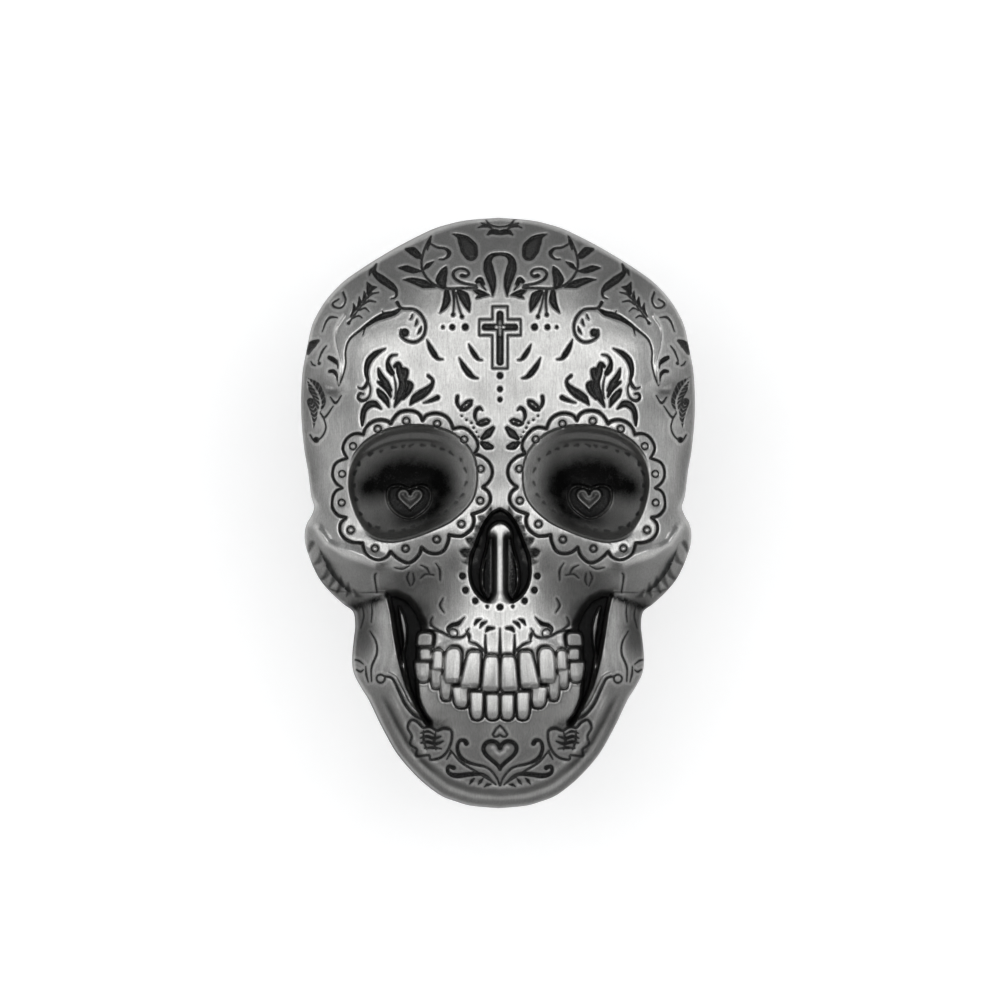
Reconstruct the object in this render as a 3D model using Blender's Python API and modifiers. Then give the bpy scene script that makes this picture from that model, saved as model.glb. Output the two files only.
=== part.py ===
"""A die-cast skull lapel pin: a relief casting with two nail posts soldered to its back, and a spring clutch on each post.

Metres, +Z up. The skull faces -Y and stands upright, the flat pad in the middle of its back lies in the plane Y = 0, and the
origin is the centre of that pad. The posts and clutches are on the +Y side, where the cloth goes.
"""

import math

import bmesh
import bpy
import numpy as np

MM = 0.001

# ---- driving dimensions, mm --------------------------------------------------------------------------------------------
HEIGHT = 38.1  # skull, crown to chin: one and a half inches
DU = HEIGHT / 591.0  # one unit of the relief drawing
EDGE = 1.7  # thickness of the casting at its outline
FLOOR = 1.9  # thickness behind the gap between the jaw and the teeth
BACK_CHAMFER = 0.25
PAD = 0.08  # how far the back lies below the flat pad in its middle
PAD_SHARE = 0.25  # the pad's size as a share of the outline
GRID = 56  # cells along each side of the relief's grid

POST_Z = 8.0  # posts stand this far above and below the centre
POST_R = 0.575
POST_LENGTH = 8.0
NECK_R = 0.44  # the two grooves near the tip
NAIL_HEAD_R = 2.4
NAIL_HEAD_T = 0.42
JOINT_GAP = 0.02  # between soldered faces
SOLDER_R = 2.95

CLOTH = 2.1  # from the back face to the clutch
CLUTCH_R = 5.75
PLATE_T = 0.35
PLATE_HOLE_R = 0.75
CAP_R = 3.4
CAP_T = 0.30
CAP_TOP = 3.3
CAP_HOLE_R = 0.80
FLANGE_R = 4.2
WING_T = 0.28
WING_HALF_W = 2.2
WING_LEVELS = (1.02, 1.36)  # mid-thickness of the lower and the upper wing plate above the clutch's front
WING_END = 2.0  # how far a wing plate reaches past the post
WING_BEND = 4.15
EAR_ANGLE = 62.0
EAR_LENGTH = 3.4
WINDOW = (0.80, 1.58, 2.45)  # bottom, top and half width of a cap window
GRIP = 0.62  # from the post's axis to the gripping lip
GRIP_R = 0.75
GRIP_FREE = 1.42
SPRING_T = 0.14
STEPS = 28

# ---- the relief drawing: one half, in drawing units from the centre, x across and z up ---------------------------------
OUTLINE_HALF = [
    (0, 295.5), (31, 293), (50, 289), (68, 283), (96, 269), (117, 257), (136, 245), (153, 233), (165.5, 221),
    (175, 209), (182, 197), (187, 185), (192, 161), (196, 137), (197, 101), (194, 65), (190, 41), (187, 17),
    (184, 6), (187, -3), (191.5, -11), (193.5, -21), (192.5, -33), (189, -44), (184.5, -55), (178, -67),
    (168, -79), (155, -91), (145, -99), (143, -113), (144.5, -127), (146, -145), (144.5, -160), (137, -175),
    (129.5, -187), (118, -211), (105, -235), (96.5, -247), (86, -259), (73.5, -271), (57, -283), (41.5, -289),
    (27, -293), (0, -295.5),
]
# x, z and height in mm: the surface of the cranium, the face and the cheekbones
UPPER = [
    (0, 296, 2.7), (0, 270, 4.0), (0, 240, 5.0), (0, 200, 5.65), (0, 160, 5.95), (0, 110, 6.05), (0, 72, 5.95),
    (0, 40, 5.6), (0, 8, 5.35), (60, 272, 3.7), (60, 232, 4.9), (60, 180, 5.65), (60, 135, 5.9), (60, 100, 5.95),
    (110, 247, 3.5), (110, 200, 4.85), (110, 150, 5.45), (110, 105, 5.55), (150, 212, 3.5), (150, 170, 4.55),
    (148, 128, 4.85), (148, 98, 4.95), (182, 180, 2.9), (188, 140, 2.9), (192, 100, 2.7), (186, 60, 2.7),
    (182, 20, 2.8), (164, 60, 4.15), (162, 20, 4.1), (28, 78, 5.8), (18, 40, 5.35), (20, 5, 5.15), (150, 70, 4.75),
    (155, 30, 4.5), (140, -15, 4.5), (90, -38, 4.8), (45, -24, 5.0), (120, -46, 4.75), (150, -36, 4.35),
    (174, -18, 3.6), (190, -16, 2.7), (112, -72, 4.05), (130, -84, 3.35), (145, -66, 3.35), (168, -50, 2.8),
    (60, -60, 4.35), (88, -66, 4.35), (64, -92, 4.25), (30, -60, 5.0), (30, -100, 5.0), (0, -60, 5.2),
    (0, -100, 5.25), (0, -125, 5.25), (40, -125, 4.95), (75, -125, 4.0), (82, -102, 3.9), (0, -155, 5.2),
    (50, -152, 4.7), (82, -150, 3.8),
]
# the same for the lower jaw
LOWER = [
    (0, -140, 4.9), (0, -190, 4.85), (0, -215, 4.8), (0, -235, 4.6), (0, -255, 4.25), (0, -275, 3.75), (0, -292, 3.0),
    (40, -180, 4.6), (40, -215, 4.5), (40, -245, 4.1), (42, -277, 3.2), (78, -168, 3.7), (70, -200, 4.1),
    (75, -228, 3.85), (84, -254, 2.9), (98, -196, 3.9), (112, -212, 2.9), (112, -166, 4.05), (134, -176, 2.8),
    (100, -150, 4.4), (108, -145, 4.4), (109, -110, 4.5), (110, -88, 4.35), (122, -100, 3.75), (122, -130, 3.6),
    (126, -152, 3.5), (138, -112, 2.9), (141, -145, 2.8),
]
# where the upper skull ends against the gap, and the edge of the lower jaw
UPPER_EDGE = [
    (146, -99), (138, -97), (126, -91), (114, -85), (103, -84), (93, -89), (85, -99), (79, -112), (78, -122),
    (83, -130), (84, -150), (74, -158), (40, -164), (0, -166),
]
JAW_EDGE = [
    (0, -140), (60, -140), (84, -150), (83.5, -178), (80, -195), (76, -206), (82, -203), (90, -191), (97, -170),
    (103, -159), (104.5, -144), (106, -108), (108, -90), (112, -76), (150, -76),
]
EYE = (86.0, 29.0, 63.0, 58.0, -12.0)  # centre, radii and tilt of a socket's rim
NOSE = [(0, 4), (7, 0), (13, -9), (17, -22), (22, -40), (25, -55), (23, -70), (16, -82), (9, -88), (5, -84), (0, -83)]
BITE = (-177.0, 0.0035)  # height of the line between the rows of teeth at the centre, and how it rises sideways
GUMS = (36.0, -32.0)  # the gum lines above and below it


# ---- relief ------------------------------------------------------------------------------------------------------------
def smooth(a, b, x):
    t = np.clip((x - a) / (b - a), 0.0, 1.0)
    return t * t * (3 - 2 * t)


def smax(a, b, k):
    t = np.clip(0.5 + 0.5 * (a - b) / k, 0, 1)
    return b + (a - b) * t + k * t * (1 - t)


def smin(a, b, k):
    return -smax(-a, -b, k)


def line_distance(x, z, pts):
    """Distance to a polyline."""
    d = np.full(x.shape, 1e9)
    for a, b in zip(pts[:-1], pts[1:]):
        dx, dz = b[0] - a[0], b[1] - a[1]
        t = np.clip(((x - a[0]) * dx + (z - a[1]) * dz) / (dx * dx + dz * dz), 0, 1)
        d = np.minimum(d, np.hypot(x - a[0] - t * dx, z - a[1] - t * dz))
    return d


def inset_in(x, z, ring):
    """Distance in from a closed outline, negative outside."""
    d = line_distance(x, z, ring + ring[:1])
    inside = np.zeros(x.shape, bool)
    for (x1, z1), (x2, z2) in zip(ring, ring[1:] + ring[:1]):
        if z1 != z2:
            inside ^= ((z1 > z) != (z2 > z)) & (x < (x2 - x1) * (z - z1) / (z2 - z1) + x1)
    return np.where(inside, d, -d)


def oval(x, z, cx, cz, rx, rz, rot=0.0, p=2.0):
    """0 at the centre, 1 on the oval."""
    c, s = math.cos(math.radians(rot)), math.sin(math.radians(rot))
    u = ((x - cx) * c + (z - cz) * s) / rx
    v = (-(x - cx) * s + (z - cz) * c) / rz
    return (np.abs(u) ** p + np.abs(v) ** p) ** (1.0 / p)


def thin_plate(points):
    """A smooth surface through points and their mirror images, as a function of x and z."""
    pts = points + [(-x, z, h) for x, z, h in points if x > 0]
    px, pz, ph = np.array(pts, float).T / np.array([[100.0], [100.0], [1.0]])
    n = len(px)

    def kernel(r2):
        return 0.5 * r2 * np.log(r2 + 1e-12)

    a = np.zeros((n + 3, n + 3))
    a[:n, :n] = kernel((px[:, None] - px) ** 2 + (pz[:, None] - pz) ** 2) + 0.004 * np.eye(n)
    a[:n, n:] = np.stack([np.ones(n), px, pz], 1)
    a[n:, :n] = a[:n, n:].T
    w = np.linalg.solve(a, np.concatenate([ph, np.zeros(3)]))

    def surface(x, z):
        u, v = x / 100.0, z / 100.0
        h = w[n] + w[n + 1] * u + w[n + 2] * v
        for i in range(n):
            h = h + w[i] * kernel((u - px[i]) ** 2 + (v - pz[i]) ** 2)
        return h

    return surface


def round_over(inset, width):
    """0 at an edge, 1 from width inwards, along a quarter circle."""
    t = np.clip(inset / width, 0, 1)
    return np.sqrt(1 - (1 - t) ** 2)


def relief(x, z, inset):
    """Thickness of the casting in mm at x, z. inset is the distance in from the outline."""
    ax = np.abs(x)
    upper = thin_plate(UPPER)(x, z)
    lower = thin_plate(LOWER)(x, z)
    edge = inset_in(ax, z, [(-60, 320), (230, 320), (230, -99)] + UPPER_EDGE + [(-60, -166)])
    upper = upper - 0.45 * (1 - smooth(0, 1.0, oval(ax, z, 160, 124, 18, 13, 20)))
    upper = FLOOR + (upper - FLOOR) * round_over(edge, 15)
    edge = inset_in(ax, z, [(-60, -140)] + JAW_EDGE + [(230, -76), (230, -320), (-60, -320)])
    lower = lower - 0.16 * np.exp(-(((inset - 27) / 8.0) ** 2)) * smooth(-165, -215, z)
    lower = FLOOR + (lower - FLOOR) * round_over(edge, 13)
    body = np.maximum(upper, lower)
    bite = BITE[0] + BITE[1] * ax * ax
    teeth = 1 - smooth(58, 74, ax)
    body = body - 0.40 * teeth * np.exp(-(((z - bite) / 6.0) ** 2))
    for gum in GUMS:
        body = body - 0.28 * teeth * np.exp(-(((z - bite - gum) / 7.0) ** 2))
    e = oval(ax, z, *EYE, 2.25)
    body = smin(body, 2.3 + 1.7 * np.clip(e, 0, 1) ** 2.6 + 5.5 * np.clip(e - 0.93, 0, 9), 0.3)
    n = inset_in(ax, z, [(-30, 4)] + NOSE + [(-30, -83)])
    body = smin(body, np.where(n > -6, 5.7 - 0.17 * np.clip(n + 5, 0, 13), 9), 0.25)
    bone = 4.3 - 0.03 * np.clip(ax - 2.0, 0, 99) ** 2
    body = np.where((z < -6) & (z > -84) & (ax < 12), np.maximum(body, bone), body)
    roll = EDGE + 3.6 * round_over(inset, 30) + 0.035 * inset
    return smin(body, roll, 0.15)


# ---- scene helpers -------------------------------------------------------------------------------------------------------
for old in list(bpy.data.objects):
    bpy.data.objects.remove(old, do_unlink=True)

parts = bpy.data.collections.new("skull_pin")
cutters = bpy.data.collections.new("cutters")
bpy.context.scene.collection.children.link(parts)
bpy.context.scene.collection.children.link(cutters)


def material(name, colour, roughness, metallic=1.0):
    m = bpy.data.materials.new(name)
    m.use_nodes = True
    shader = m.node_tree.nodes["Principled BSDF"]
    shader.inputs["Base Color"].default_value = (*colour, 1.0)
    shader.inputs["Roughness"].default_value = roughness
    shader.inputs["Metallic"].default_value = metallic
    m.diffuse_color = (*colour, 1.0)
    return m


ANTIQUE = material("antique_zinc", (0.42, 0.42, 0.41), 0.38)
NICKEL = material("nickel_wire", (0.66, 0.65, 0.62), 0.28)
SOLDER = material("solder", (0.48, 0.49, 0.50), 0.45)
CLUTCH = material("nickel_plate", (0.64, 0.62, 0.58), 0.25)
WING = material("wing_plate", (0.70, 0.69, 0.66), 0.22)
SPRING = material("spring_steel", (0.38, 0.39, 0.41), 0.30)


def place(obj, name, mat, collection=parts):
    """Names an object, gives it its material and moves it to its collection."""
    for c in list(obj.users_collection):
        c.objects.unlink(obj)
    collection.objects.link(obj)
    obj.name = name
    obj.data.name = name
    if mat:
        obj.data.materials.clear()
        obj.data.materials.append(mat)
    return obj


def empty(name, location, parent=None):
    e = bpy.data.objects.new(name, None)
    e.empty_display_size = 3 * MM
    parts.objects.link(e)
    e.parent = parent
    e.location = [v * MM for v in location]
    return e


def turned(name, profile, mat, parent, closed):
    """A solid of revolution about its parent's Y axis. profile is (radius, distance along +Y) in mm, down the outer side."""
    mesh = bpy.data.meshes.new(name)
    edges = [(i, i + 1) for i in range(len(profile) - 1)] + ([(len(profile) - 1, 0)] if closed else [])
    mesh.from_pydata([(r * MM, 0.0, y * MM) for r, y in profile], edges, [])
    obj = bpy.data.objects.new(name, mesh)
    place(obj, name, mat)
    obj.parent = parent
    obj.rotation_euler = (-math.pi / 2, 0, 0)
    screw = obj.modifiers.new("turn", "SCREW")
    screw.axis = "Z"
    screw.angle = 2 * math.pi
    screw.steps = screw.render_steps = STEPS
    screw.use_merge_vertices = True
    screw.merge_threshold = 1e-6
    screw.use_smooth_shade = False
    return obj


def grid_sheet(name, nx, nz, shape, mat, parent, thickness):
    """A sheet shaped from a grid, given its thickness by Solidify. shape(s, t) returns x, y, z in mm for s in 0..1 and t in -1..1."""
    bpy.ops.mesh.primitive_grid_add(x_subdivisions=nx, y_subdivisions=nz, size=2)
    obj = bpy.context.active_object
    place(obj, name, mat)
    for v in obj.data.vertices:
        x, y, z = shape((v.co.x + 1) / 2, v.co.y)
        v.co = (x * MM, y * MM, z * MM)
    obj.parent = parent
    solid = obj.modifiers.new("thickness", "SOLIDIFY")
    solid.thickness = thickness * MM
    solid.offset = 0
    solid.use_even_offset = True
    return obj


def cutter(name, mesh_maker, location, parent):
    mesh_maker()
    obj = place(bpy.context.active_object, name, None, cutters)
    obj.parent = parent
    obj.location = [v * MM for v in location]
    obj.hide_render = True
    obj.display_type = "WIRE"
    return obj


def cut(obj, tool):
    mod = obj.modifiers.new("cut_" + tool.name, "BOOLEAN")
    mod.operation = "DIFFERENCE"
    mod.object = tool
    mod.solver = "EXACT"


# ---- casting -------------------------------------------------------------------------------------------------------------
RING = OUTLINE_HALF + [(-x, z) for x, z in OUTLINE_HALF[-2:0:-1]]


def reach(angle):
    """Distance from the centre to the outline along an angle."""
    dx, dz = math.cos(angle), math.sin(angle)
    best = 0.0
    for (x1, z1), (x2, z2) in zip(RING, RING[1:] + RING[:1]):
        ex, ez = x2 - x1, z2 - z1
        det = ex * dz - ez * dx
        if abs(det) < 1e-9:
            continue
        t = (ex * z1 - ez * x1) / det
        s = (dx * z1 - dz * x1) / det
        if t > 0 and -1e-9 <= s <= 1 + 1e-9:
            best = max(best, t)
    return best


def disc_of(u, v):
    """A square of side 2 mapped evenly to the unit disc, as radius and angle."""
    if u == 0 and v == 0:
        return 0.0, 0.0
    if abs(u) >= abs(v):
        r, a = abs(u), (math.pi / 4) * (v / u)
        return r, a if u > 0 else a + math.pi
    return abs(v), (math.pi / 2 if v > 0 else -math.pi / 2) - (math.pi / 4) * (u / v)


bpy.ops.mesh.primitive_grid_add(x_subdivisions=GRID, y_subdivisions=GRID, size=2)
body = place(bpy.context.active_object, "skull_casting", ANTIQUE)
flat = []
for v in body.data.vertices:
    r, a = disc_of(v.co.x, v.co.y)
    d = reach(a)
    flat.append((r * d * math.cos(a), r * d * math.sin(a)))
flat = np.array(flat)
heights = relief(flat[:, 0], flat[:, 1], np.clip(inset_in(flat[:, 0], flat[:, 1], RING), 0, None))
for v, (x, z), h in zip(body.data.vertices, flat, heights):
    v.co = (x * DU * MM, -float(h) * MM, z * DU * MM)

bm = bmesh.new()
bm.from_mesh(body.data)
rim = [e for e in bm.edges if e.is_boundary]
# down the edge, across the chamfer, in over the back, up to the pad, and the pad itself
for y, share in ((-BACK_CHAMFER, 1.0), (-PAD, 0.984), (-PAD, PAD_SHARE + 0.01), (0.0, PAD_SHARE)):
    made = bmesh.ops.extrude_edge_only(bm, edges=rim)["geom"]
    verts = [g for g in made if isinstance(g, bmesh.types.BMVert)]
    rim = [g for g in made if isinstance(g, bmesh.types.BMEdge)]
    if share == 1.0:
        outer = {v: (v.co.x, v.co.z) for v in verts}
        for v in verts:
            v.co.y = y * MM
        previous = 1.0
    else:
        for v in verts:
            v.co.x *= share / previous
            v.co.z *= share / previous
            v.co.y = y * MM
        previous = share
bmesh.ops.contextual_create(bm, geom=rim)
bmesh.ops.triangulate(bm, faces=[f for f in bm.faces if len(f.verts) > 4])
bmesh.ops.recalc_face_normals(bm, faces=bm.faces)
bm.to_mesh(body.data)
bm.free()
body.data.shade_smooth()
body.data.set_sharp_from_angle(angle=math.radians(50))

# ---- posts and clutches --------------------------------------------------------------------------------------------------
POST_PROFILE = [
    (0.0, POST_LENGTH), (0.12, POST_LENGTH - 0.12), (0.45, POST_LENGTH - 0.9), (POST_R, POST_LENGTH - 1.2),
    (POST_R, 6.35), (NECK_R, 6.25), (NECK_R, 5.85), (POST_R, 5.75),
    (POST_R, 5.35), (NECK_R, 5.25), (NECK_R, 4.85), (POST_R, 4.75),
    (POST_R, 0.72), (0.72, 0.5), (NAIL_HEAD_R - 0.12, NAIL_HEAD_T), (NAIL_HEAD_R, NAIL_HEAD_T - 0.1),
    (NAIL_HEAD_R, JOINT_GAP), (0.0, JOINT_GAP),
]
SOLDER_PROFILE = [
    (NAIL_HEAD_R + 0.04, 0.32), (NAIL_HEAD_R + 0.2, 0.16), (SOLDER_R - 0.12, 0.06), (SOLDER_R, JOINT_GAP),
    (NAIL_HEAD_R + 0.04, JOINT_GAP),
]
PLATE_PROFILE = [
    (CLUTCH_R - 0.08, 1.38), (CLUTCH_R, 1.25), (CLUTCH_R, 0.5), (CLUTCH_R - 0.15, 0.18), (CLUTCH_R - 0.45, 0.02),
    (CLUTCH_R - 0.8, 0.0), (PLATE_HOLE_R + 0.2, 0.0), (PLATE_HOLE_R, 0.12), (PLATE_HOLE_R, PLATE_T),
    (CLUTCH_R - 0.9, PLATE_T), (CLUTCH_R - 0.55, 0.45), (CLUTCH_R - PLATE_T, 0.68), (CLUTCH_R - PLATE_T, 1.25),
    (CLUTCH_R - PLATE_T + 0.09, 1.38),
]
CAP_BOTTOM = PLATE_T + 0.03
CAP_PROFILE = [
    (CAP_HOLE_R, 2.95), (1.15, 3.05), (1.55, CAP_TOP), (CAP_R - 0.4, CAP_TOP), (CAP_R - 0.1, 3.18), (CAP_R, 2.9),
    (CAP_R, 0.75), (CAP_R + 0.12, CAP_BOTTOM + CAP_T), (FLANGE_R, CAP_BOTTOM + CAP_T), (FLANGE_R, CAP_BOTTOM),
    (CAP_R - CAP_T, CAP_BOTTOM), (CAP_R - CAP_T, 2.82), (CAP_R - 0.48, CAP_TOP - CAP_T), (1.6, CAP_TOP - CAP_T),
    (1.2, 2.76), (CAP_HOLE_R, 2.65),
]


def wing_shape(side, level):
    """side is -1 for the ear at -X. The plate runs past the post, out through the cap window, and bends up into an ear."""
    bend_r = 0.45
    turn = math.radians(EAR_ANGLE)
    flat_len = WING_END + WING_BEND
    arc_len = bend_r * turn
    # stations along the sheet: the share of its length, and the half width there
    stations = [0.0, 0.6, 1.15, 1.7, 2.3, 2.9, 3.5, 4.3, 5.2, flat_len]
    stations += [flat_len + arc_len * k / 3 for k in (1, 2, 3)]
    stations += [flat_len + arc_len + EAR_LENGTH * k for k in (0.2, 0.42, 0.6, 0.75, 0.87, 0.96, 1.0)]
    n = len(stations) - 1

    def at(s, t):
        p = stations[round(s * n)]
        if p <= flat_len:
            x, y = WING_END - p, level
        elif p <= flat_len + arc_len:
            a = (p - flat_len) / bend_r
            x, y = -WING_BEND - bend_r * math.sin(a), level + bend_r * (1 - math.cos(a))
        else:
            q = p - flat_len - arc_len
            x = -WING_BEND - bend_r * math.sin(turn) - q * math.cos(turn) - 0.035 * q * q
            y = level + bend_r * (1 - math.cos(turn)) + q * math.sin(turn)
        q = np.clip((p - flat_len - arc_len) / EAR_LENGTH, 0, 1)
        half = WING_HALF_W + 0.35 * smooth(0.1, 0.5, q)
        half *= math.sqrt(max(0.0, 1 - (max(0.0, q - 0.45) / 0.58) ** 2.4))
        half *= (0.52, 0.83, 0.96)[stations.index(p)] if p < 1.5 else 1.0
        return -side * x, y, t * half

    return at, n


def bow_shape(side, level):
    """A shallow bow behind the end of a wing plate, its tips on the cap's wall."""

    def at(s, t):
        z = 2.38 * (2 * s - 1)
        return side * (2.16 - 0.34 * (z / 2.38) ** 2), level + 0.12 * t, z

    return at


def stadium():
    """The gripping hole: two half rounds joined by straight sides, as a prism along Y."""
    length = (GRIP + GRIP_FREE - 2 * GRIP_R) * MM
    curve = bpy.data.curves.new("grip", "CURVE")
    curve.dimensions = "2D"
    curve.fill_mode = "BOTH"
    curve.extrude = 0.6 * MM
    spline = curve.splines.new("POLY")
    points = []
    for k in range(20):
        a = 2 * math.pi * (k + 0.5) / 20
        shift = length / 2 if math.cos(a) > 0 else -length / 2
        points.append((GRIP_R * MM * math.cos(a) + shift, GRIP_R * MM * math.sin(a)))
    spline.points.add(len(points) - 1)
    for p, (x, y) in zip(spline.points, points):
        p.co = (x, y, 0, 1)
    spline.use_cyclic_u = True
    guide = bpy.data.objects.new("grip", curve)
    cutters.objects.link(guide)
    guide.rotation_euler = (math.pi / 2, 0, 0)
    bpy.context.view_layer.update()
    graph = bpy.context.evaluated_depsgraph_get()
    mesh = bpy.data.meshes.new_from_object(guide.evaluated_get(graph))
    mesh.transform(guide.matrix_world)
    bpy.data.objects.remove(guide)
    bm = bmesh.new()
    bm.from_mesh(mesh)
    bmesh.ops.remove_doubles(bm, verts=bm.verts, dist=1e-7)
    bmesh.ops.recalc_face_normals(bm, faces=bm.faces)
    bm.to_mesh(mesh)
    bm.free()
    obj = bpy.data.objects.new("grip_cutter", mesh)
    bpy.context.scene.collection.objects.link(obj)
    bpy.context.view_layer.objects.active = obj


def window_box():
    bpy.ops.mesh.primitive_cube_add(size=1)
    obj = bpy.context.active_object
    for v in obj.data.vertices:
        v.co = (v.co.x * 3.0 * MM, v.co.y * (WINDOW[1] - WINDOW[0]) * MM, v.co.z * 2 * WINDOW[2] * MM)


def clutch(where, z):
    seat = empty(f"{where}_clutch_seat", (0, CLOTH, z))
    turned(f"{where}_clutch_plate", PLATE_PROFILE, CLUTCH, seat, True)
    cap = turned(f"{where}_clutch_cap", CAP_PROFILE, CLUTCH, seat, True)
    for side, label in ((-1, "left"), (1, "right")):
        level = WING_LEVELS[0] if side < 0 else WING_LEVELS[1]
        window = cutter(f"{where}_{label}_window", window_box, (side * 3.1, (WINDOW[0] + WINDOW[1]) / 2, 0), seat)
        cut(cap, window)
        pinch = empty(f"{where}_{label}_pinch", (0, 0, 0), seat)
        at, n = wing_shape(side, level)
        wing = grid_sheet(f"{where}_{label}_wing", n, 6, at, WING, pinch, WING_T)
        middle = side * (GRIP_FREE - GRIP) / 2
        hole = cutter(f"{where}_{label}_grip", stadium, (middle, level, 0), pinch)
        cut(wing, hole)
        grid_sheet(f"{where}_{label}_bow_spring", 10, 1, bow_shape(-side, level), SPRING, seat, SPRING_T)


for where, z in (("upper", POST_Z), ("lower", -POST_Z)):
    foot = empty(f"{where}_post_foot", (0, -PAD, z))
    turned(f"{where}_post", POST_PROFILE, NICKEL, foot, False)
    turned(f"{where}_solder_ring", SOLDER_PROFILE, SOLDER, foot, True)
    clutch(where, z)
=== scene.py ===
import math

import bmesh
import bpy
import numpy as np
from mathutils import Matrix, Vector


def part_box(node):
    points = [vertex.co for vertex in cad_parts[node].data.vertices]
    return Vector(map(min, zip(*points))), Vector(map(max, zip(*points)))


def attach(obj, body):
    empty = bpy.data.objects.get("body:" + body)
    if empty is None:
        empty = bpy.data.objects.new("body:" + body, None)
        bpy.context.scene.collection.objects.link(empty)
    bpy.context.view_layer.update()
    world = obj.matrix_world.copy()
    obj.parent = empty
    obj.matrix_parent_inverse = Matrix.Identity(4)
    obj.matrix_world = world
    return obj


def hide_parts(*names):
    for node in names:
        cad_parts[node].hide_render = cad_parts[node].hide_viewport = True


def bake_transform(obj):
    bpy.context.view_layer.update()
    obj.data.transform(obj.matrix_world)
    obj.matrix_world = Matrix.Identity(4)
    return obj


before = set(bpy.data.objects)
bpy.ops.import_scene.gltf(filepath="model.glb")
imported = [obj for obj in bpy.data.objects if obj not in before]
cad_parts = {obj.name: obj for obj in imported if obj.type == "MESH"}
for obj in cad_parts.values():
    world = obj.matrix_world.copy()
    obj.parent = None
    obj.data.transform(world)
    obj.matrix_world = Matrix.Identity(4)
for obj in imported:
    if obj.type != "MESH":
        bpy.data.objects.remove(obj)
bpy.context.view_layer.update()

MM = 0.001
DU = 38.1 / 591.0  # one unit of the drawing in mm
EDGE = 1.7  # thickness at the outline, mm
FLOOR = 1.9  # floor of the gap between the jaw and the teeth, mm
CX, CY = 498.0, 513.0  # the drawing's sheet: x right, y down, the skull's middle here
STEP = 0.4  # spacing of the height samples, drawing units

# ======================================================================================================================
# The drawing, left half. Outlines first: x across from the middle and z up.
# ======================================================================================================================
OUTLINE_HALF = [
    (0, 295.5), (31, 293), (50, 289), (68, 283), (96, 269), (117, 257), (136, 245), (153, 233), (165.5, 221),
    (175, 209), (182, 197), (187, 185), (192, 161), (196, 137), (197, 101), (194, 65), (190, 41), (187, 17),
    (184, 6), (187, -3), (191.5, -11), (193.5, -21), (192.5, -33), (189, -44), (184.5, -55), (178, -67),
    (168, -79), (155, -91), (145, -99), (143, -113), (144.5, -127), (146, -145), (144.5, -160), (137, -175),
    (129.5, -187), (118, -211), (105, -235), (96.5, -247), (86, -259), (73.5, -271), (57, -283), (41.5, -289),
    (27, -293), (0, -295.5),
]
UPPER = [
    (0, 296, 2.7), (0, 270, 4.0), (0, 240, 5.0), (0, 200, 5.65), (0, 160, 5.95), (0, 110, 6.05), (0, 72, 5.95),
    (0, 40, 5.6), (0, 8, 5.35), (60, 272, 3.7), (60, 232, 4.9), (60, 180, 5.65), (60, 135, 5.9), (60, 100, 5.95),
    (110, 247, 3.5), (110, 200, 4.85), (110, 150, 5.45), (110, 105, 5.55), (150, 212, 3.5), (150, 170, 4.55),
    (148, 128, 4.85), (148, 98, 4.95), (182, 180, 2.9), (188, 140, 2.9), (192, 100, 2.7), (186, 60, 2.7),
    (182, 20, 2.8), (164, 60, 4.15), (162, 20, 4.1), (28, 78, 5.8), (18, 40, 5.35), (20, 5, 5.15), (150, 70, 4.75),
    (155, 30, 4.5), (140, -15, 4.5), (90, -38, 4.8), (45, -24, 5.0), (122, -52, 4.8), (140, -47, 4.6), (155, -36, 4.4),
    (172, -16, 3.9), (190, -16, 2.7), (112, -74, 3.9), (130, -84, 3.1), (146, -68, 3.3), (168, -50, 2.8),
    (60, -60, 4.35), (88, -66, 4.25), (64, -92, 4.25), (30, -60, 5.0), (30, -100, 5.0), (0, -60, 5.2),
    (0, -100, 5.25), (0, -125, 5.25), (40, -125, 4.95), (75, -125, 4.0), (82, -102, 3.9), (0, -155, 5.2),
    (50, -152, 4.7), (82, -150, 3.8),
]
LOWER = [
    (0, -140, 4.9), (0, -190, 4.85), (0, -215, 4.8), (0, -235, 4.6), (0, -255, 4.25), (0, -275, 3.75), (0, -292, 3.0),
    (40, -180, 4.6), (40, -215, 4.5), (40, -245, 4.1), (42, -277, 3.2), (78, -168, 3.7), (70, -200, 4.1),
    (75, -228, 3.85), (84, -254, 2.9), (98, -196, 3.9), (112, -212, 2.9), (112, -166, 4.05), (134, -176, 2.8),
    (100, -150, 4.4), (108, -145, 4.4), (109, -110, 4.5), (110, -88, 4.35), (122, -100, 3.75), (122, -130, 3.6),
    (126, -152, 3.5), (138, -112, 2.9), (141, -145, 2.8),
]
UPPER_EDGE = [
    (146, -99), (138, -97), (126, -91), (114, -85), (103, -84), (93, -89), (85, -99), (79, -112), (78, -122),
    (83, -130), (84, -150), (74, -158), (40, -164), (-60, -166),
]
JAW_EDGE = [
    (-60, -140), (60, -140), (84, -150), (84, -172), (83, -184), (80, -193), (75.5, -201.5), (70, -208.5), (70, -210.5),
    (72, -208.5), (77, -200.5), (83, -188), (90, -173), (94.5, -158), (98, -144), (102.5, -120), (105.5, -99), (109, -84),
    (113, -76), (150, -76),
]
# the rest is on the sheet
SOCKET = [
    (348, 488), (351, 466), (362, 447), (381, 434), (400, 428.5), (419, 427), (437, 429), (452, 434.5), (464, 444),
    (472, 455), (475.5, 468), (475.5, 484), (472, 498), (463, 509.6), (449, 521), (431.4, 529.4), (412, 536.6), (393, 540.4),
    (376, 537.5), (362, 527), (353, 511),
]
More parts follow.
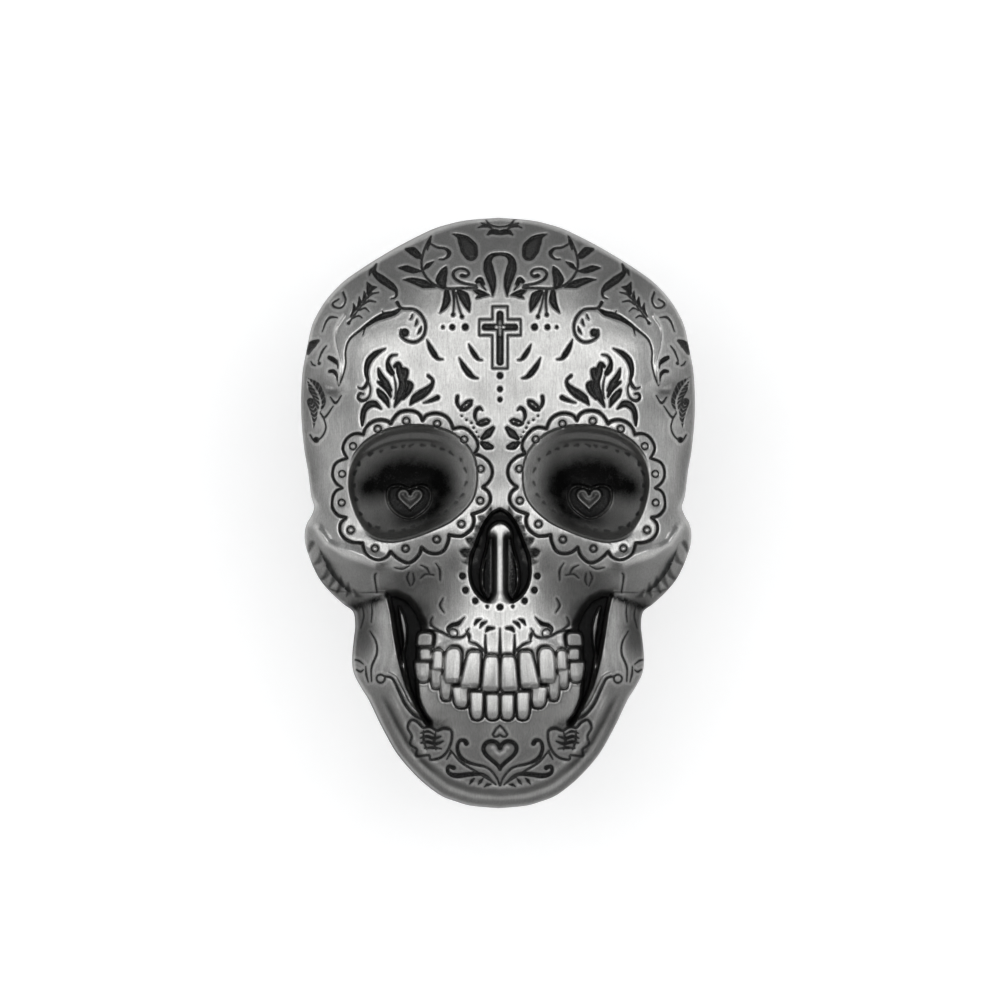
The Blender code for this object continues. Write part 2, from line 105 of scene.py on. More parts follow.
# the lace round the socket: each scallop from its first cusp, and the ring punched in it
SCALLOPS = [
    ([(348.2, 458.5), (343.8, 449.2), (346.5, 440.8), (351.9, 435.7), (358.4, 434)], (353.8, 446.4)),
    ([(364.4, 435.1), (366, 429.7), (370.4, 424.3), (376.9, 421), (383.4, 420.5), (388.8, 422.1)], (378.6, 429.4)),
    ([(391.5, 424.3), (395.3, 417.8), (400.7, 412.9), (408.3, 411.3), (415.9, 412.4), (420.8, 416.1)], (406.9, 421.5)),
    ([(423, 421), (426.8, 416.1), (433.3, 414), (439.8, 414.3), (446.3, 417.2), (450.6, 422.1)], (437.6, 424.2)),
    ([(453.3, 429.2), (461.5, 427.8), (468, 430.2), (473.4, 435.7), (477.2, 441.6), (477.7, 448.1)], (464.3, 439.8)),
    ([(474.5, 454.1), (482.1, 456.8), (488.6, 462.2), (491.8, 468.8), (491.8, 475.3), (488.6, 481.8)], (480.8, 468.9)),
    ([(482.6, 487.2), (488, 491.6), (490.4, 498), (488.6, 504.4), (483, 509.8)], (480.3, 500.5)),
    ([(472.2, 514), (474, 519.6), (471.8, 528), (463.4, 535.1), (456, 535.6)], (461.6, 523.8)),
    ([(449.3, 534.4), (447.9, 542.1), (443.7, 550.3), (436.7, 553.3), (428.3, 551.9)], (437, 539.2)),
    ([(422, 547), (419.2, 554.7), (412.9, 561), (407.2, 562.4), (398.8, 558.2)], (406.1, 548.3)),
    ([(391.1, 551.2), (387.6, 556.1), (380.6, 559.4), (373.6, 558.2), (366.6, 552.8)], (375.6, 548.2)),
    ([(363.1, 542.8), (353.9, 542.1), (346.2, 538.6), (341.3, 532), (341.3, 523.8)], (351.4, 529.8)),
    ([(346.9, 517.5), (338.5, 514.7), (333.2, 507), (333.6, 497.2), (337.1, 490.9)], (342.4, 502.7)),
    ([(343.4, 488.1), (337.1, 483.1), (333.6, 476.1), (334.3, 467.7), (338.5, 462.1)], (342.9, 474)),
]
NOSE = [
    (500, 508.5), (493, 512), (485.6, 521), (480.4, 531), (475.8, 543), (471, 555), (469.4, 566), (469.5, 577), (473, 588), (480, 597),
    (488, 601.5), (496, 600), (500, 598),
]
# how light the surface is painted, x, z, share: the dark wash rubbed off, and painted highlights and painted shade as
# well. Above the cheekbones' ridge, below it, and on the lower jaw.
RUB_AND_LIGHT_UPPER = [
    (0, 292, .28), (0, 270, .30), (0, 245, .46), (0, 222, .50), (0, 195, .66), (0, 160, .66), (0, 120, .64), (0, 80, .80),
    (0, 40, .88), (0, 5, .85), (60, 280, .25), (60, 250, .34), (60, 222, .55), (60, 190, .72), (60, 150, .74), (60, 110, .80),
    (110, 255, .28), (110, 230, .32), (112, 200, .66), (115, 170, .84), (112, 130, .80), (150, 215, .46), (145, 185, .90),
    (142, 155, .98), (150, 130, .94), (160, 115, .52), (125, 150, .96), (130, 115, .80), (120, 92, .66), (175, 190, .48), (172, 160, .62), (185, 130, .42), (180, 115, .34),
    (192, 100, .40), (165, 90, .70), (180, 75, .58), (160, 60, .90), (148, 72, .92), (182, 45, .46), (165, 20, .62), (184, 10, .55),
    (165, -8, .66), (178, -16, .74), (160, -28, .80), (140, -42, .92), (190, -22, .50), (112, -48, .84), (96, -42, .34), (90, -44, .26),
    (62, -42, .20), (45, -30, .50), (170, 0, .46), (150, -38, .9), (20, 0, .84), (30, 60, .86),
]
RUB_AND_LIGHT_MIDDLE = [
    (185, -30, .44), (178, -45, .42), (165, -60, .34), (150, -55, .30), (160, -72, .34), (145, -80, .34), (130, -65, .24),
    (125, -85, .34), (110, -62, .20), (100, -80, .08), (85, -75, .05), (75, -95, .05), (60, -70, .16), (60, -100, .36),
    (45, -50, .36), (45, -72, .42), (45, -92, .62), (45, -115, .74), (75, -120, .26), (60, -128, .50), (30, -42, .60),
    (28, -75, .8), (25, -100, .86), (0, -100, .86), (0, -125, .74), (22, -130, .76), (45, -138, .74), (80, -140, .42),
    (0, -160, .86), (78, -60, .12), (68, -45, .2),
]
RUB_AND_LIGHT_JAW = [
    (112, -90, .60), (112, -110, .84), (113, -130, .80), (112, -150, .66), (128, -95, .20), (140, -102, .09), (132, -115, .10),
    (138, -130, .20), (124, -130, .34), (132, -148, .40), (122, -168, .40), (140, -158, .36), (112, -180, .28), (124, -190, .23),
    (100, -195, .26), (108, -212, .18), (90, -215, .19), (95, -235, .19), (70, -215, .18), (78, -248, .22), (60, -268, .20),
    (45, -200, .18), (60, -185, .24), (20, -212, .18), (0, -215, .22), (0, -240, .20), (30, -235, .20), (45, -240, .22), (0, -262, .18),
    (30, -262, .20), (0, -276, .28), (30, -274, .23), (55, -258, .22), (0, -292, .24), (40, -286, .20), (78, -190, .24), (0, -150, .8),
    (50, -150, .6),
]
CHEEK_RIDGE = [(300, 520), (316, 531), (326, 545), (345, 556), (361, 561.5), (376, 567), (392, 566), (410, 563), (436, 560),
               (452, 552), (468, 545), (478, 532), (500, 520)]
# teeth: left and right at the top, left and right at the bottom, top, bottom, front height in mm
UPPER_TEETH = [
    (484.4, 499.2, 481.2, 499.6, 654.4, 690.4, 5.72), (467.8, 482.2, 459.6, 480.0, 650, 687.4, 5.60),
    (445.2, 463.0, 444.4, 460.6, 646.4, 682.6, 5.35), (432.4, 444.6, 432.6, 443.6, 648.6, 670.6, 4.95),
    (418.6, 432.0, 420.4, 432.2, 647.0, 660.4, 4.6), (417.4, 434.4, 416.8, 432.6, 631.6, 646.8, 4.5),
]
LOWER_TEETH = [
    (485.4, 499.5, 486.2, 499.3, 692.2, 718.4, 5.3), (469.6, 484.4, 471.4, 483.2, 690, 718.4, 5.2),
    (451.8, 468.6, 455.4, 468.8, 685, 706.6, 5.05), (439.4, 453.0, 441.4, 451.6, 673.0, 699.4, 4.8),
    (430.4, 443.6, 431.8, 441.0, 668.0, 688, 4.6), (414.2, 431.4, 416.6, 430.4, 660.6, 681.6, 4.45),
]

# engraved strokes: (widths, points). One width for a line, or one for each point.
STROKES = [
    # crown flower
    ([1, 3, 2.5, 1], [(478, 228.4), (483, 226.6), (488, 227.2), (491, 229)]),
    ([1, 2.6, 1], [(481, 223.6), (487, 225.6), (493, 229.6)]),
    ([2, 5, 6, 5], [(487.5, 235.5), (491.5, 232.5), (496, 232.6), (500, 233.5)]),
    ([1.6, 2, 2, 1.8], [(485.7, 219.6), (488.5, 224), (494, 226.6), (500, 227.3)]),
    # dark bud beside it
    ([1.5, 5, 13, 17.5, 14, 5], [(453.2, 234.8), (459.4, 237.2), (464.8, 242.6), (469, 249.2), (471, 255), (472, 258.6)]),
    # branch
    (2.3, [(431, 238), (427, 245), (423.2, 255), (421.8, 265.6), (424.4, 274.6), (433, 284.5), (446, 289.4), (462, 289.3),
           (477, 288.7)]),
    ([1.2, 4.5, 1.5], [(431.5, 236.5), (429, 243), (427.6, 250.5)]),
    ([2, 2.3, 2.6, 4, 3.2, 2, 1.6], [(431.6, 245), (437.8, 248.2), (445.2, 249.4), (449.4, 253.3), (448.4, 257.1), (444.1, 260.2),
                                   (439.7, 260.2)]),
    ([3, 8.5, 7, 1.5], [(406.5, 250), (413, 251.8), (418, 256), (422.5, 259)]),
    ([2, 6.5, 6, 1.5], [(399.5, 268.5), (407, 269.3), (414, 271.5), (422, 272)]),
    ([1, 6, 8.5, 1.5], [(403.3, 280.4), (413, 281.5), (424, 285), (435, 288.3)]),
    ([1.2, 5, 1.2], [(423, 271), (428, 266.5), (434, 262.5)]),
    ([2, 8, 11, 5], [(446.5, 268), (444, 273.5), (441.5, 281), (444, 288)]),
    ([2, 2.4, 2.7, 2.7, 2.3, 2.3, 2.3, 2.8, 3.8], [(476.4, 286.6), (464.5, 284.5), (455.6, 280), (453.4, 273.9), (458.2, 270),
                                                 (465.6, 270.5), (469, 274.3), (466.5, 277.3), (462, 276.7)]),
    ([4, 6, 3.4], [(477.2, 282.8), (480.2, 281.2), (483.4, 285)]),
    ([2, 1.4], [(481.4, 285.6), (485.8, 291.2)]),
    ([1, 5, 5.6, 1], [(473.6, 291.4), (478, 293), (483, 295), (489.4, 296.2)]),
    ([1, 4, 1], [(476, 299.4), (480, 297.2), (487, 296.2)]),
    # bellflower
    ([5, 7.6, 5.6, 1.2], [(447, 293), (447.2, 301), (445, 307), (440.3, 313.6)]),
    ([5, 10, 7.4, 1.2], [(459.4, 293), (464.2, 298), (467.2, 305), (469.6, 312.6)]),
    ([3, 2, 1.5], [(453.5, 291), (454.3, 303), (453.3, 315)]),
    ([2, 1.6, 1.5], [(456, 294), (458.5, 306), (462, 317)]),
    # keyhole
    ([3, 4.6, 7.4, 10.4, 9.6, 6.4, 1.2], [(500, 255), (492.4, 256.6), (488.2, 262.4), (488.6, 270), (491.2, 279), (492.8, 287),
                                        (492.8, 297)]),
    # cross
    (6, [(485, 328.2), (500, 328.2)]),
    (6.6, [(500, 315.5), (500, 363)]),
    # forehead leaves
    ([1, 4.6, 5.2, 2.6, 1], [(427.2, 340.4), (430.8, 348.6), (434.8, 355.2), (438.4, 359.4), (443.6, 360.2)]),
    ([1, 3.8, 4.2, 2.2, 1], [(468.8, 345), (472.2, 351.6), (475.8, 357), (478.8, 360.2), (482.8, 361)]),
    ([1, 4.8, 5.6, 3.2, 1], [(459.4, 358.6), (464, 367.4), (469, 374), (473.4, 377.8), (478.8, 379.2)]),
    # big scroll
    ([3.4, 2.4, 2.5, 2.5, 2.5, 2.5, 2.5, 2.3, 2.3, 2.3], [(397.6, 303.2), (402, 309), (414.8, 310.4), (422.6, 317), (426, 327),
                                            (423.6, 337), (416.5, 342.6), (408, 341.6), (401.6, 336.6), (401.4, 331)]),
    ([2, 5, 6.5, 4.5, 2.6, 2.2, 2, 1.8, 1.6, 1.4], [(402, 309), (394.6, 314), (385, 316.6), (374.5, 321.4), (361, 331),
                                            (350, 340.6), (346.2, 352), (346.4, 364), (343.4, 377), (339.4, 386)]),
    ([2.6, 1], [(386, 318), (382.6, 311.5)]),
    ([2.4, 1], [(366, 327), (363.5, 336)]),
    ([1, 2.2, 1], [(412.9, 314.8), (412.2, 317.6), (410.6, 320)]),
    ([1, 2.8, 1], [(417.2, 319.8), (417.2, 323), (415.6, 326.4)]),
    ([1, 3, 1], [(421.8, 327.4), (420.6, 331.2), (418, 334.6)]),
    # curved blade above the feather
    ([2, 4.5, 8, 7, 3, 2.2, 1.4], [(376.5, 264.4), (374.6, 272.6), (382.4, 280), (392, 287), (397, 292.6), (396, 298),
                                   (391.6, 299.6)]),
    ([1.5, 3.5, 1], [(374, 268), (371, 271.5), (369.5, 276)]),
    # side curls
    (2.0, [(343.4, 292.5), (346, 301), (342, 308), (335, 307.4), (333, 303.4), (339, 299.6)]),
    ([1, 2.6, 2.2, 1], [(338, 318), (331, 317.6), (326.4, 322), (322.6, 332)]),
    ([3, 8, 4], [(318.5, 341), (312.4, 345), (308.2, 353)]),
    ([1.2, 2.4, 1.4], [(327, 346), (322.5, 352), (318.8, 361)]),
    ([1, 1.8, 1], [(311, 361.6), (313, 364.6), (316, 366)]),
    ([3.6, 4.8, 4.2, 2.4, 1.2], [(329.6, 357.8), (332.6, 359.4), (336, 361.8), (338.2, 364.6), (338.8, 369)]),
    ([3, 3.8, 3.2, 2, 1], [(330, 371.8), (334, 371.6), (336.8, 374.6), (338.2, 380), (338.8, 385)]),
    # feather at the temple
    ([1, 6.4, 5], [(367.2, 282.4), (370, 288.6), (369.2, 293.4)]),
    ([6.4, 1], [(371, 289), (377.4, 287.6)]),
    ([1.2, 1.5, 1.6, 2.2], [(369.4, 295.6), (362.4, 306), (355, 315.6), (349, 324)]),
    ([1.2, 2.4, 1.6], [(368, 299), (372.4, 294.6), (379, 293)]),
    ([1.2, 2.6, 1.6], [(363.6, 305.8), (369.4, 301.6), (376.2, 302.6)]),
    ([1, 2.2, 1.2], [(359.6, 311.4), (365.4, 308.8), (369.6, 312.2)]),
    ([1, 2.2, 1.2], [(353.6, 319), (358.8, 316.4), (362.8, 318.6)]),
    ([1.2, 3.6, 1.4], [(364.4, 291.6), (365, 297.4), (362, 303.4)]),
    ([1.2, 3.8, 1.4], [(359.4, 297), (360, 303.4), (356.6, 310)]),
    ([1.2, 3.6, 1.4], [(353.8, 303.6), (354.8, 309.6), (351, 317)]),
    ([1.4, 2.6, 1.2], [(331, 397.4), (336.4, 403.4), (342, 396)]),
    ([1.4, 2.4, 1.2], [(321, 413.4), (325.4, 417.6), (334, 406.4)]),
    (1.8, [(324, 417.5), (326.4, 428), (322.4, 437), (315, 441), (310.5, 435)]),
    # scimitar
    ([1.2, 5.2, 6.2, 5, 3.8, 2.8, 3.2, 2.6, 1.4], [(386, 349.2), (376.4, 354.4), (370, 361), (367.4, 368.6), (367.2, 375), (368.6, 381),
                                                 (366, 387), (362.6, 389.2), (358.4, 387.6)]),
    ([2, 1.7, 1.9, 2.6, 2.8, 2.8, 2.6, 2], [(369.4, 383.4), (371.2, 388.8), (370.2, 396.2), (366.2, 400.6), (361.4, 400.8),
                                          (358.8, 397.6), (360.6, 394), (363.8, 394.4)]),
    # palmette
    ([2, 5.6, 6.4, 3], [(379, 369.6), (381.6, 377), (387, 384.4), (391.4, 391)]),
    ([2, 4.4, 5, 2.6], [(378.4, 382.4), (382.4, 384.8), (388, 390), (391.2, 397)]),
    ([3.4, 7, 6.4, 1.4], [(378.8, 390.8), (381.8, 395), (386.4, 400.2), (389.6, 407.6)]),
    ([1.4, 2.4, 3.2, 6, 4.6], [(397.6, 355.4), (391.6, 356.8), (388.4, 363), (390, 369.6), (393, 374)]),
    ([3, 5, 7, 6.4], [(395, 367.2), (398.8, 365), (400.4, 372), (402, 378.6)]),
    ([3, 6, 6], [(402.5, 369.8), (406.2, 371.8), (405.2, 378)]),
    ([6, 8, 8, 1.4], [(402, 378), (403.6, 386), (400.6, 396), (394.8, 407.6)]),
    ([4, 6, 6, 3], [(408.2, 383), (411, 386), (408.6, 392), (403.6, 399)]),
    ([1, 1.9, 1.7, 1], [(394.3, 376.6), (396.4, 386), (396.2, 395), (394.6, 400)]),
    # leaf with a curl
    ([1.4, 7.6, 9, 6.6, 3.4, 2.6, 2.8], [(410.4, 405.4), (415.6, 399), (421.8, 395), (428.6, 390), (432.8, 384.8), (432.8, 380.2),
                                       (428.6, 376.4)]),
    ([1.2, 3.2, 4.6], [(423.6, 403.6), (431, 401.2), (438, 398.2)]),
    # crescent at the brow
    ([2.4, 5, 5.4, 7, 6, 1.4], [(363, 425.6), (363.4, 418), (364.8, 411), (369.4, 405.4), (375.6, 404.4), (382, 409.4)]),
    # brow leaves
    ([3.4, 3.4, 3, 1.4], [(457.8, 397.2), (457.2, 402.4), (459.2, 407.4), (462.6, 410.8)]),
    ([2, 7.6, 7.8, 2], [(460.8, 410.8), (464.6, 408), (468.8, 404.2), (472, 401.2)]),
    ([1, 3.4, 3.6, 3.2, 1.6], [(483, 411.4), (479.8, 408.4), (476.2, 411), (475, 417), (477.4, 423.4)]),
    ([2, 6.6, 6.8, 2], [(477, 424.2), (481.4, 423.6), (486.2, 422), (489.6, 421.4)]),
    ([4, 8, 4], [(482.4, 438.8), (488, 434), (493, 428.6)]),
    ([3.6, 8, 5], [(481.4, 443.2), (486.6, 446), (491.4, 447.4)]),
    # cheek
    ([1.2, 2, 1.2], [(376.8, 573), (375.2, 576.4), (377.2, 592)]),
    ([1, 1.6, 1], [(395, 567.4), (403, 568.8), (410, 565.4)]),
    ([1, 2, 1], [(409.4, 572), (407.4, 578), (410.6, 586)]),
    ([1, 1.8, 1], [(413.4, 573), (414.4, 580), (412.4, 585)]),
    ([1, 2, 1], [(421, 565), (427, 568), (430, 574)]),
    ([1, 1.6, 1], [(421, 578), (426, 574), (434, 575)]),
    ([1, 1.8, 1], [(436, 563), (440, 570), (440, 580)]),
    ([1, 2, 1], [(443, 598), (440, 605), (444, 612)]),
    # swirls over the upper teeth
    ([1, 2.2, 2.4, 2.2, 2.2, 1.2], [(421.6, 631), (431, 630.4), (440.4, 630.8), (450.4, 635.6), (463, 636), (469, 628)]),
    ([1, 2.2, 1.6], [(432.6, 616.6), (430.8, 624), (440, 630.6)]),
    ([1.4, 2.6, 4, 4, 1], [(450.4, 634.8), (447.6, 628.6), (452, 624.6), (458.4, 622.8), (464.6, 616.6)]),
    ([1.2, 3.4, 1], [(466, 630), (469, 634.6), (469.6, 641)]),
    ([1, 3.6, 1.4], [(474.2, 624.4), (477, 620.4), (481, 618.6)]),
    ([1, 3.6, 1.4], [(479.8, 627.2), (482.2, 623.2), (486.6, 621)]),
    ([1.2, 4.2, 2], [(485.6, 631.4), (488.4, 627.8), (494, 627.4)]),
    ([1, 2.4, 2.6], [(468.6, 640.4), (476.4, 643.4), (483.4, 649.6)]),
    ([1.4, 2.2, 3.2], [(485.4, 634), (485.4, 643), (485.6, 652)]),
    ([1.2, 2.2, 3.4], [(500, 628), (500, 642), (500, 655)]),
    (1.4, [(434.6, 634), (433.4, 647)]),
    # jaw side
    ([1.2, 2.2, 2.4, 2.2, 1.4], [(370.4, 631), (376.4, 642), (377, 653.6), (371.8, 667), (371.8, 681)]),
    ([2, 2.3, 2.4, 2.6, 2.8, 2], [(385, 675.6), (392.6, 678), (398.2, 688.4), (405, 703), (413.6, 713.6), (421, 718)]),
    ([1.2, 2, 1], [(354.6, 659.6), (359, 660.6), (363.6, 664)]),
    ([1.2, 2.2, 1], [(356.4, 669.4), (360.6, 671.6), (363.6, 669.6)]),
    ([1, 2.4, 1], [(366, 666), (366.4, 674), (368.6, 682)]),
    ([1, 1.8, 1], [(362, 604), (364, 616), (361, 628)]),
    ([1, 1.8, 1], [(371.6, 602), (372.4, 612), (371.4, 622)]),
    # rose
    (2.4, [(407.9, 727), (412, 735.6), (410.4, 744), (416.8, 748.6), (417, 755.6), (429, 754.6), (430.4, 759), (440.4, 757),
           (447.4, 750.6), (451.6, 740), (451.4, 730), (444, 727.4), (436.8, 729.8), (430, 725.6), (423.4, 727), (418, 721.6),
           (411.4, 719.4), (407.9, 727)]),
    ([1.4, 2.6, 1.4], [(421, 732.6), (428, 730.6), (434, 733.4)]),
    ([1.4, 3, 3, 1.4], [(420.6, 737.6), (427, 735.6), (434, 737.6), (441, 735.6)]),
    ([1.4, 3.2, 3.2, 1.4], [(421, 742.4), (428, 741.2), (436, 743), (443.6, 740.4)]),
    ([1.4, 3, 1.4], [(424.6, 747.6), (433, 747), (441.6, 748)]),
    ([1.2, 2.6, 1.2], [(423.6, 730), (424, 740), (427, 749)]),
    ([1.2, 2.8, 1.2], [(436, 731.6), (434.4, 740), (436, 749)]),
    # chin scrolls
    ([4.8, 4, 2.8, 3.4, 4, 3, 2.2, 2, 1.4], [(466.4, 742.4), (464.6, 739.6), (459.6, 740), (457.4, 747.6), (461.4, 757),
                                           (471.6, 762.6), (487.4, 766.8), (496.6, 776.6), (499.6, 785)]),
    ([1.6, 2.4, 2.2, 1.4], [(450.7, 749.4), (461.2, 761.4), (476.6, 771), (493.4, 782)]),
    ([2.6, 1.2], [(451.4, 750.8), (447, 758.6)]),
    ([4.8, 3, 3.6, 5, 4.6, 3, 1.4], [(453.6, 767), (448.6, 765.6), (448.4, 771.8), (456, 775), (471, 773.4), (484.4, 774.2),
                                   (496, 784)]),
    ([1.2, 3, 1], [(474.6, 777.4), (472, 780), (469.6, 783.4)]),
    ([1.2, 3, 1], [(483, 777.8), (480.6, 780.6), (478.4, 783.6)]),
    ([1.2, 3, 1], [(491, 783.4), (487.6, 784), (484.4, 786)]),
]
# grooves with sharp corners
CORNERED = [
    (1.7, [(500, 307.4), (492.4, 307.4), (492.4, 320.3), (479.4, 320.3), (479.4, 336.2), (492.4, 336.2), (492.4, 369.2),
           (500, 369.2)]),
    (1.9, [(500, 724.4), (496.4, 727.6), (492.8, 733.4), (494.2, 735.8), (497.2, 735.6), (500, 733.6)]),
]
# soft dark strokes round the cheekbone's lower side
SMUDGES = [
    ([4, 3.4, 1], [(312.6, 543), (310.6, 547), (309, 552)]),
    ([1.2, 4.2, 1.6], [(321, 552), (319.6, 560), (314.6, 564)]),
    ([1.2, 4.6, 1.6], [(328.4, 565), (327, 574), (322, 579)]),
    ([1.2, 4.2, 1.4], [(333.4, 572), (333.4, 580), (329, 587)]),
    ([1.2, 4.4, 1.4], [(341.4, 576.6), (341, 585.4), (337, 592)]),
    ([1.2, 3.8, 1.2], [(348.6, 583), (348.4, 590), (346, 596)]),
    ([1.2, 3.6, 1], [(354, 590), (356.4, 594.4), (361.4, 596.4)]),
]
# feathers: width, then the spine from base to tip; barbs are cut across it
FEATHERS = [
    (14.0, [(318, 416), (320.6, 402), (315, 388), (306.6, 377.4)]),
    (9.0, [(314, 428), (314.6, 414), (311, 402)]),
]
# punched dots: x, y, radius
DOTS = [
    (443.2, 328, 1.6), (452.6, 328, 2.7), (465.5, 328, 3.2), (500, 376.4, 3.1), (500, 389.8, 2.7), (500, 400.2, 2.4),
    (405.4, 333.6, 4.0), (349.4, 323.6, 1.9), (453.3, 315.6, 1.9), (462.2, 317.6, 1.9), (319.6, 363.6, 1.7),
    (316.6, 440, 3.0), (462, 416.5, 1.1), (466.7, 420.4, 1.2), (471.6, 423.4, 1.3),
    (473.7, 428.2, 1.3), (476.6, 432.6, 1.0), (478.8, 437.2, 1.2), (462.6, 575.6, 3.3), (465.6, 589.6, 3.3),
    (475.4, 600.2, 3.1), (487.2, 605.8, 1.6), (499.6, 606.4, 2.9),
]
# little rings: x, y, radius, line width
RINGS = [(453.4, 632.6, 4.3, 1.7), (381, 678.2, 4.1, 2.0)]
# raised lines: height in mm, widths, points
RAISED = [
    (0.16, 1.8, [(344.6, 315.5), (336, 329), (336.4, 345), (340.6, 364), (339.4, 384)]),
    (0.14, 1.5, [(318.6, 415), (321, 402), (315.6, 389), (307, 378.6)]),
    (0.20, 2.4, [(495.6, 328.2), (500, 328.2)]),
    (0.20, 2.4, [(500, 322.4), (500, 336)]),
    (0.14, 1.8, [(388.4, 672.4), (395.6, 676.4), (401.4, 687), (408.4, 701.4), (417, 711), (424, 714.6)]),
    (0.12, 1.1, [(464, 407.6), (469, 403.6)]),
    (0.12, 1.1, [(481, 423.6), (486.6, 422)]),
]


# ======================================================================================================================
# Height samples over the left half of the drawing
# ======================================================================================================================
NX, NZ = 506, 1491
GX = -200.0 + STEP * np.arange(NX)
GZ = 298.0 - STEP * np.arange(NZ)
X, Z = np.meshgrid(GX, GZ)
AX = np.abs(X)


def lean(x):
    """How far the face's middle line stands to the right of the outline's at x."""
    return 2.0 * (1 - np.clip(np.abs(x) / 197.0, 0, 1) ** 2)


def on_sheet(p):
    """A point of the sheet as x, z in drawing units, left half, measured from the face's middle line."""
    x = p[0] - CX
    return (min(0.0, x - float(lean(x))), CY - p[1])


def smooth(a, b, x):
    t = np.clip((x - a) / (b - a), 0.0, 1.0)
    return t * t * (3 - 2 * t)


def smax(a, b, k):
    t = np.clip(0.5 + 0.5 * (a - b) / k, 0, 1)
    return b + (a - b) * t + k * t * (1 - t)


def smin(a, b, k):
    return -smax(-a, -b, k)


def line_distance(x, z, pts):
    d = np.full(x.shape, 1e9)
    for a, b in zip(pts[:-1], pts[1:]):
        dx, dz = b[0] - a[0], b[1] - a[1]
        t = np.clip(((x - a[0]) * dx + (z - a[1]) * dz) / (dx * dx + dz * dz), 0, 1)
        d = np.minimum(d, np.hypot(x - a[0] - t * dx, z - a[1] - t * dz))
    return d


def inset_in(x, z, ring):
    """Distance in from a closed outline, negative outside."""
    d = line_distance(x, z, ring + ring[:1])
    inside = np.zeros(x.shape, bool)
    for (x1, z1), (x2, z2) in zip(ring, ring[1:] + ring[:1]):
        if z1 != z2:
            inside ^= ((z1 > z) != (z2 > z)) & (x < (x2 - x1) * (z - z1) / (z2 - z1) + x1)
    return np.where(inside, d, -d)


def oval(x, z, cx, cz, rx, rz, rot=0.0, p=2.0):
    c, s = math.cos(math.radians(rot)), math.sin(math.radians(rot))
    u = ((x - cx) * c + (z - cz) * s) / rx
    v = (-(x - cx) * s + (z - cz) * c) / rz
    return (np.abs(u) ** p + np.abs(v) ** p) ** (1.0 / p)


def thin_plate(points):
    pts = points + [(-x, z, h) for x, z, h in points if x > 0]
    px, pz, ph = np.array(pts, float).T / np.array([[100.0], [100.0], [1.0]])
    n = len(px)

    def kernel(r2):
        return 0.5 * r2 * np.log(r2 + 1e-12)

    a = np.zeros((n + 3, n + 3))
    a[:n, :n] = kernel((px[:, None] - px) ** 2 + (pz[:, None] - pz) ** 2) + 0.004 * np.eye(n)
    a[:n, n:] = np.stack([np.ones(n), px, pz], 1)
    a[n:, :n] = a[:n, n:].T
    w = np.linalg.solve(a, np.concatenate([ph, np.zeros(3)]))

    def surface(x, z):
        u, v = (x / 100.0).astype(np.float32), (z / 100.0).astype(np.float32)
        h = w[n] + w[n + 1] * u + w[n + 2] * v
        for i in range(n):
            h = h + np.float32(w[i]) * kernel((u - np.float32(px[i])) ** 2 + (v - np.float32(pz[i])) ** 2)
        return h.astype(float)

    return surface


def round_over(inset, width):
    t = np.clip(inset / width, 0, 1)
    return np.sqrt(1 - (1 - t) ** 2)


def curve(pts, step=1.6):
    """A smooth curve through points, as more points and their places along the list."""
    p = np.array(pts, float)
    if len(p) < 3:
        n = max(2, int(np.hypot(*(p[1] - p[0])) / step) + 1)
        t = np.linspace(0, 1, n)
        return p[0] + (p[1] - p[0]) * t[:, None], t
    closed = np.allclose(p[0], p[-1])
    before, after = (p[-2], p[1]) if closed else (2 * p[0] - p[1], 2 * p[-1] - p[-2])
    q = np.vstack([before, p, after])
    out, place = [], []
    for i in range(1, len(q) - 2):
        n = max(2, int(np.hypot(*(q[i + 1] - q[i])) / step) + 1)
        t = np.linspace(0, 1, n, endpoint=False)[:, None]
        a, b, c, d = q[i - 1], q[i], q[i + 1], q[i + 2]
        out.append(0.5 * (2 * b + (c - a) * t + (2 * a - 5 * b + 4 * c - d) * t**2 + (3 * b - a - 3 * c + d) * t**3))
        place.append(i - 1 + t[:, 0])
    out.append(p[-1:])
    place.append(np.array([len(p) - 1.0]))
    return np.vstack(out), np.concatenate(place)


def blank(value=99.0):
    return np.full((NZ, NX), value)


def window(x0, x1, z0, z1):
    i0 = max(0, int((298.0 - z1) / STEP) - 1)
    i1 = min(NZ, int((298.0 - z0) / STEP) + 2)
    j0 = max(0, int((x0 + 200.0) / STEP) - 1)
    j1 = min(NX, int((x1 + 200.0) / STEP) + 2)
    return slice(i0, i1), slice(j0, j1)


def stamp(field, a, b, wa, wb, pad=6.0):
    """Lowers a field of distances to the edge of a tapered stroke from a to b, by half widths wa and wb."""
    w = max(wa, wb) + pad
    s = window(min(a[0], b[0]) - w, max(a[0], b[0]) + w, min(a[1], b[1]) - w, max(a[1], b[1]) + w)
    x, z = X[s], Z[s]
    dx, dz = b[0] - a[0], b[1] - a[1]
    t = np.clip(((x - a[0]) * dx + (z - a[1]) * dz) / max(dx * dx + dz * dz, 1e-9), 0, 1)
    d = np.hypot(x - a[0] - t * dx, z - a[1] - t * dz) - (wa + (wb - wa) * t)
    field[s] = np.minimum(field[s], d)


def draw(field, widths, pts, sharp=False, pad=6.0):
    pts = [on_sheet(p) for p in pts]
    if sharp:
        line, place = np.array(pts, float), np.arange(len(pts), dtype=float)
    else:
        line, place = curve(pts)
    if isinstance(widths, (int, float)):
        half = np.full(len(line), widths / 2.0)
    else:
        half = np.interp(place, np.arange(len(widths)), np.array(widths, float) / 2)
    for i in range(len(line) - 1):
        stamp(field, line[i], line[i + 1], half[i], half[i + 1], pad)


def dot(field, x, y, r, pad=6.0):
    p = on_sheet((x, y))
    stamp(field, p, p, r, r, pad)


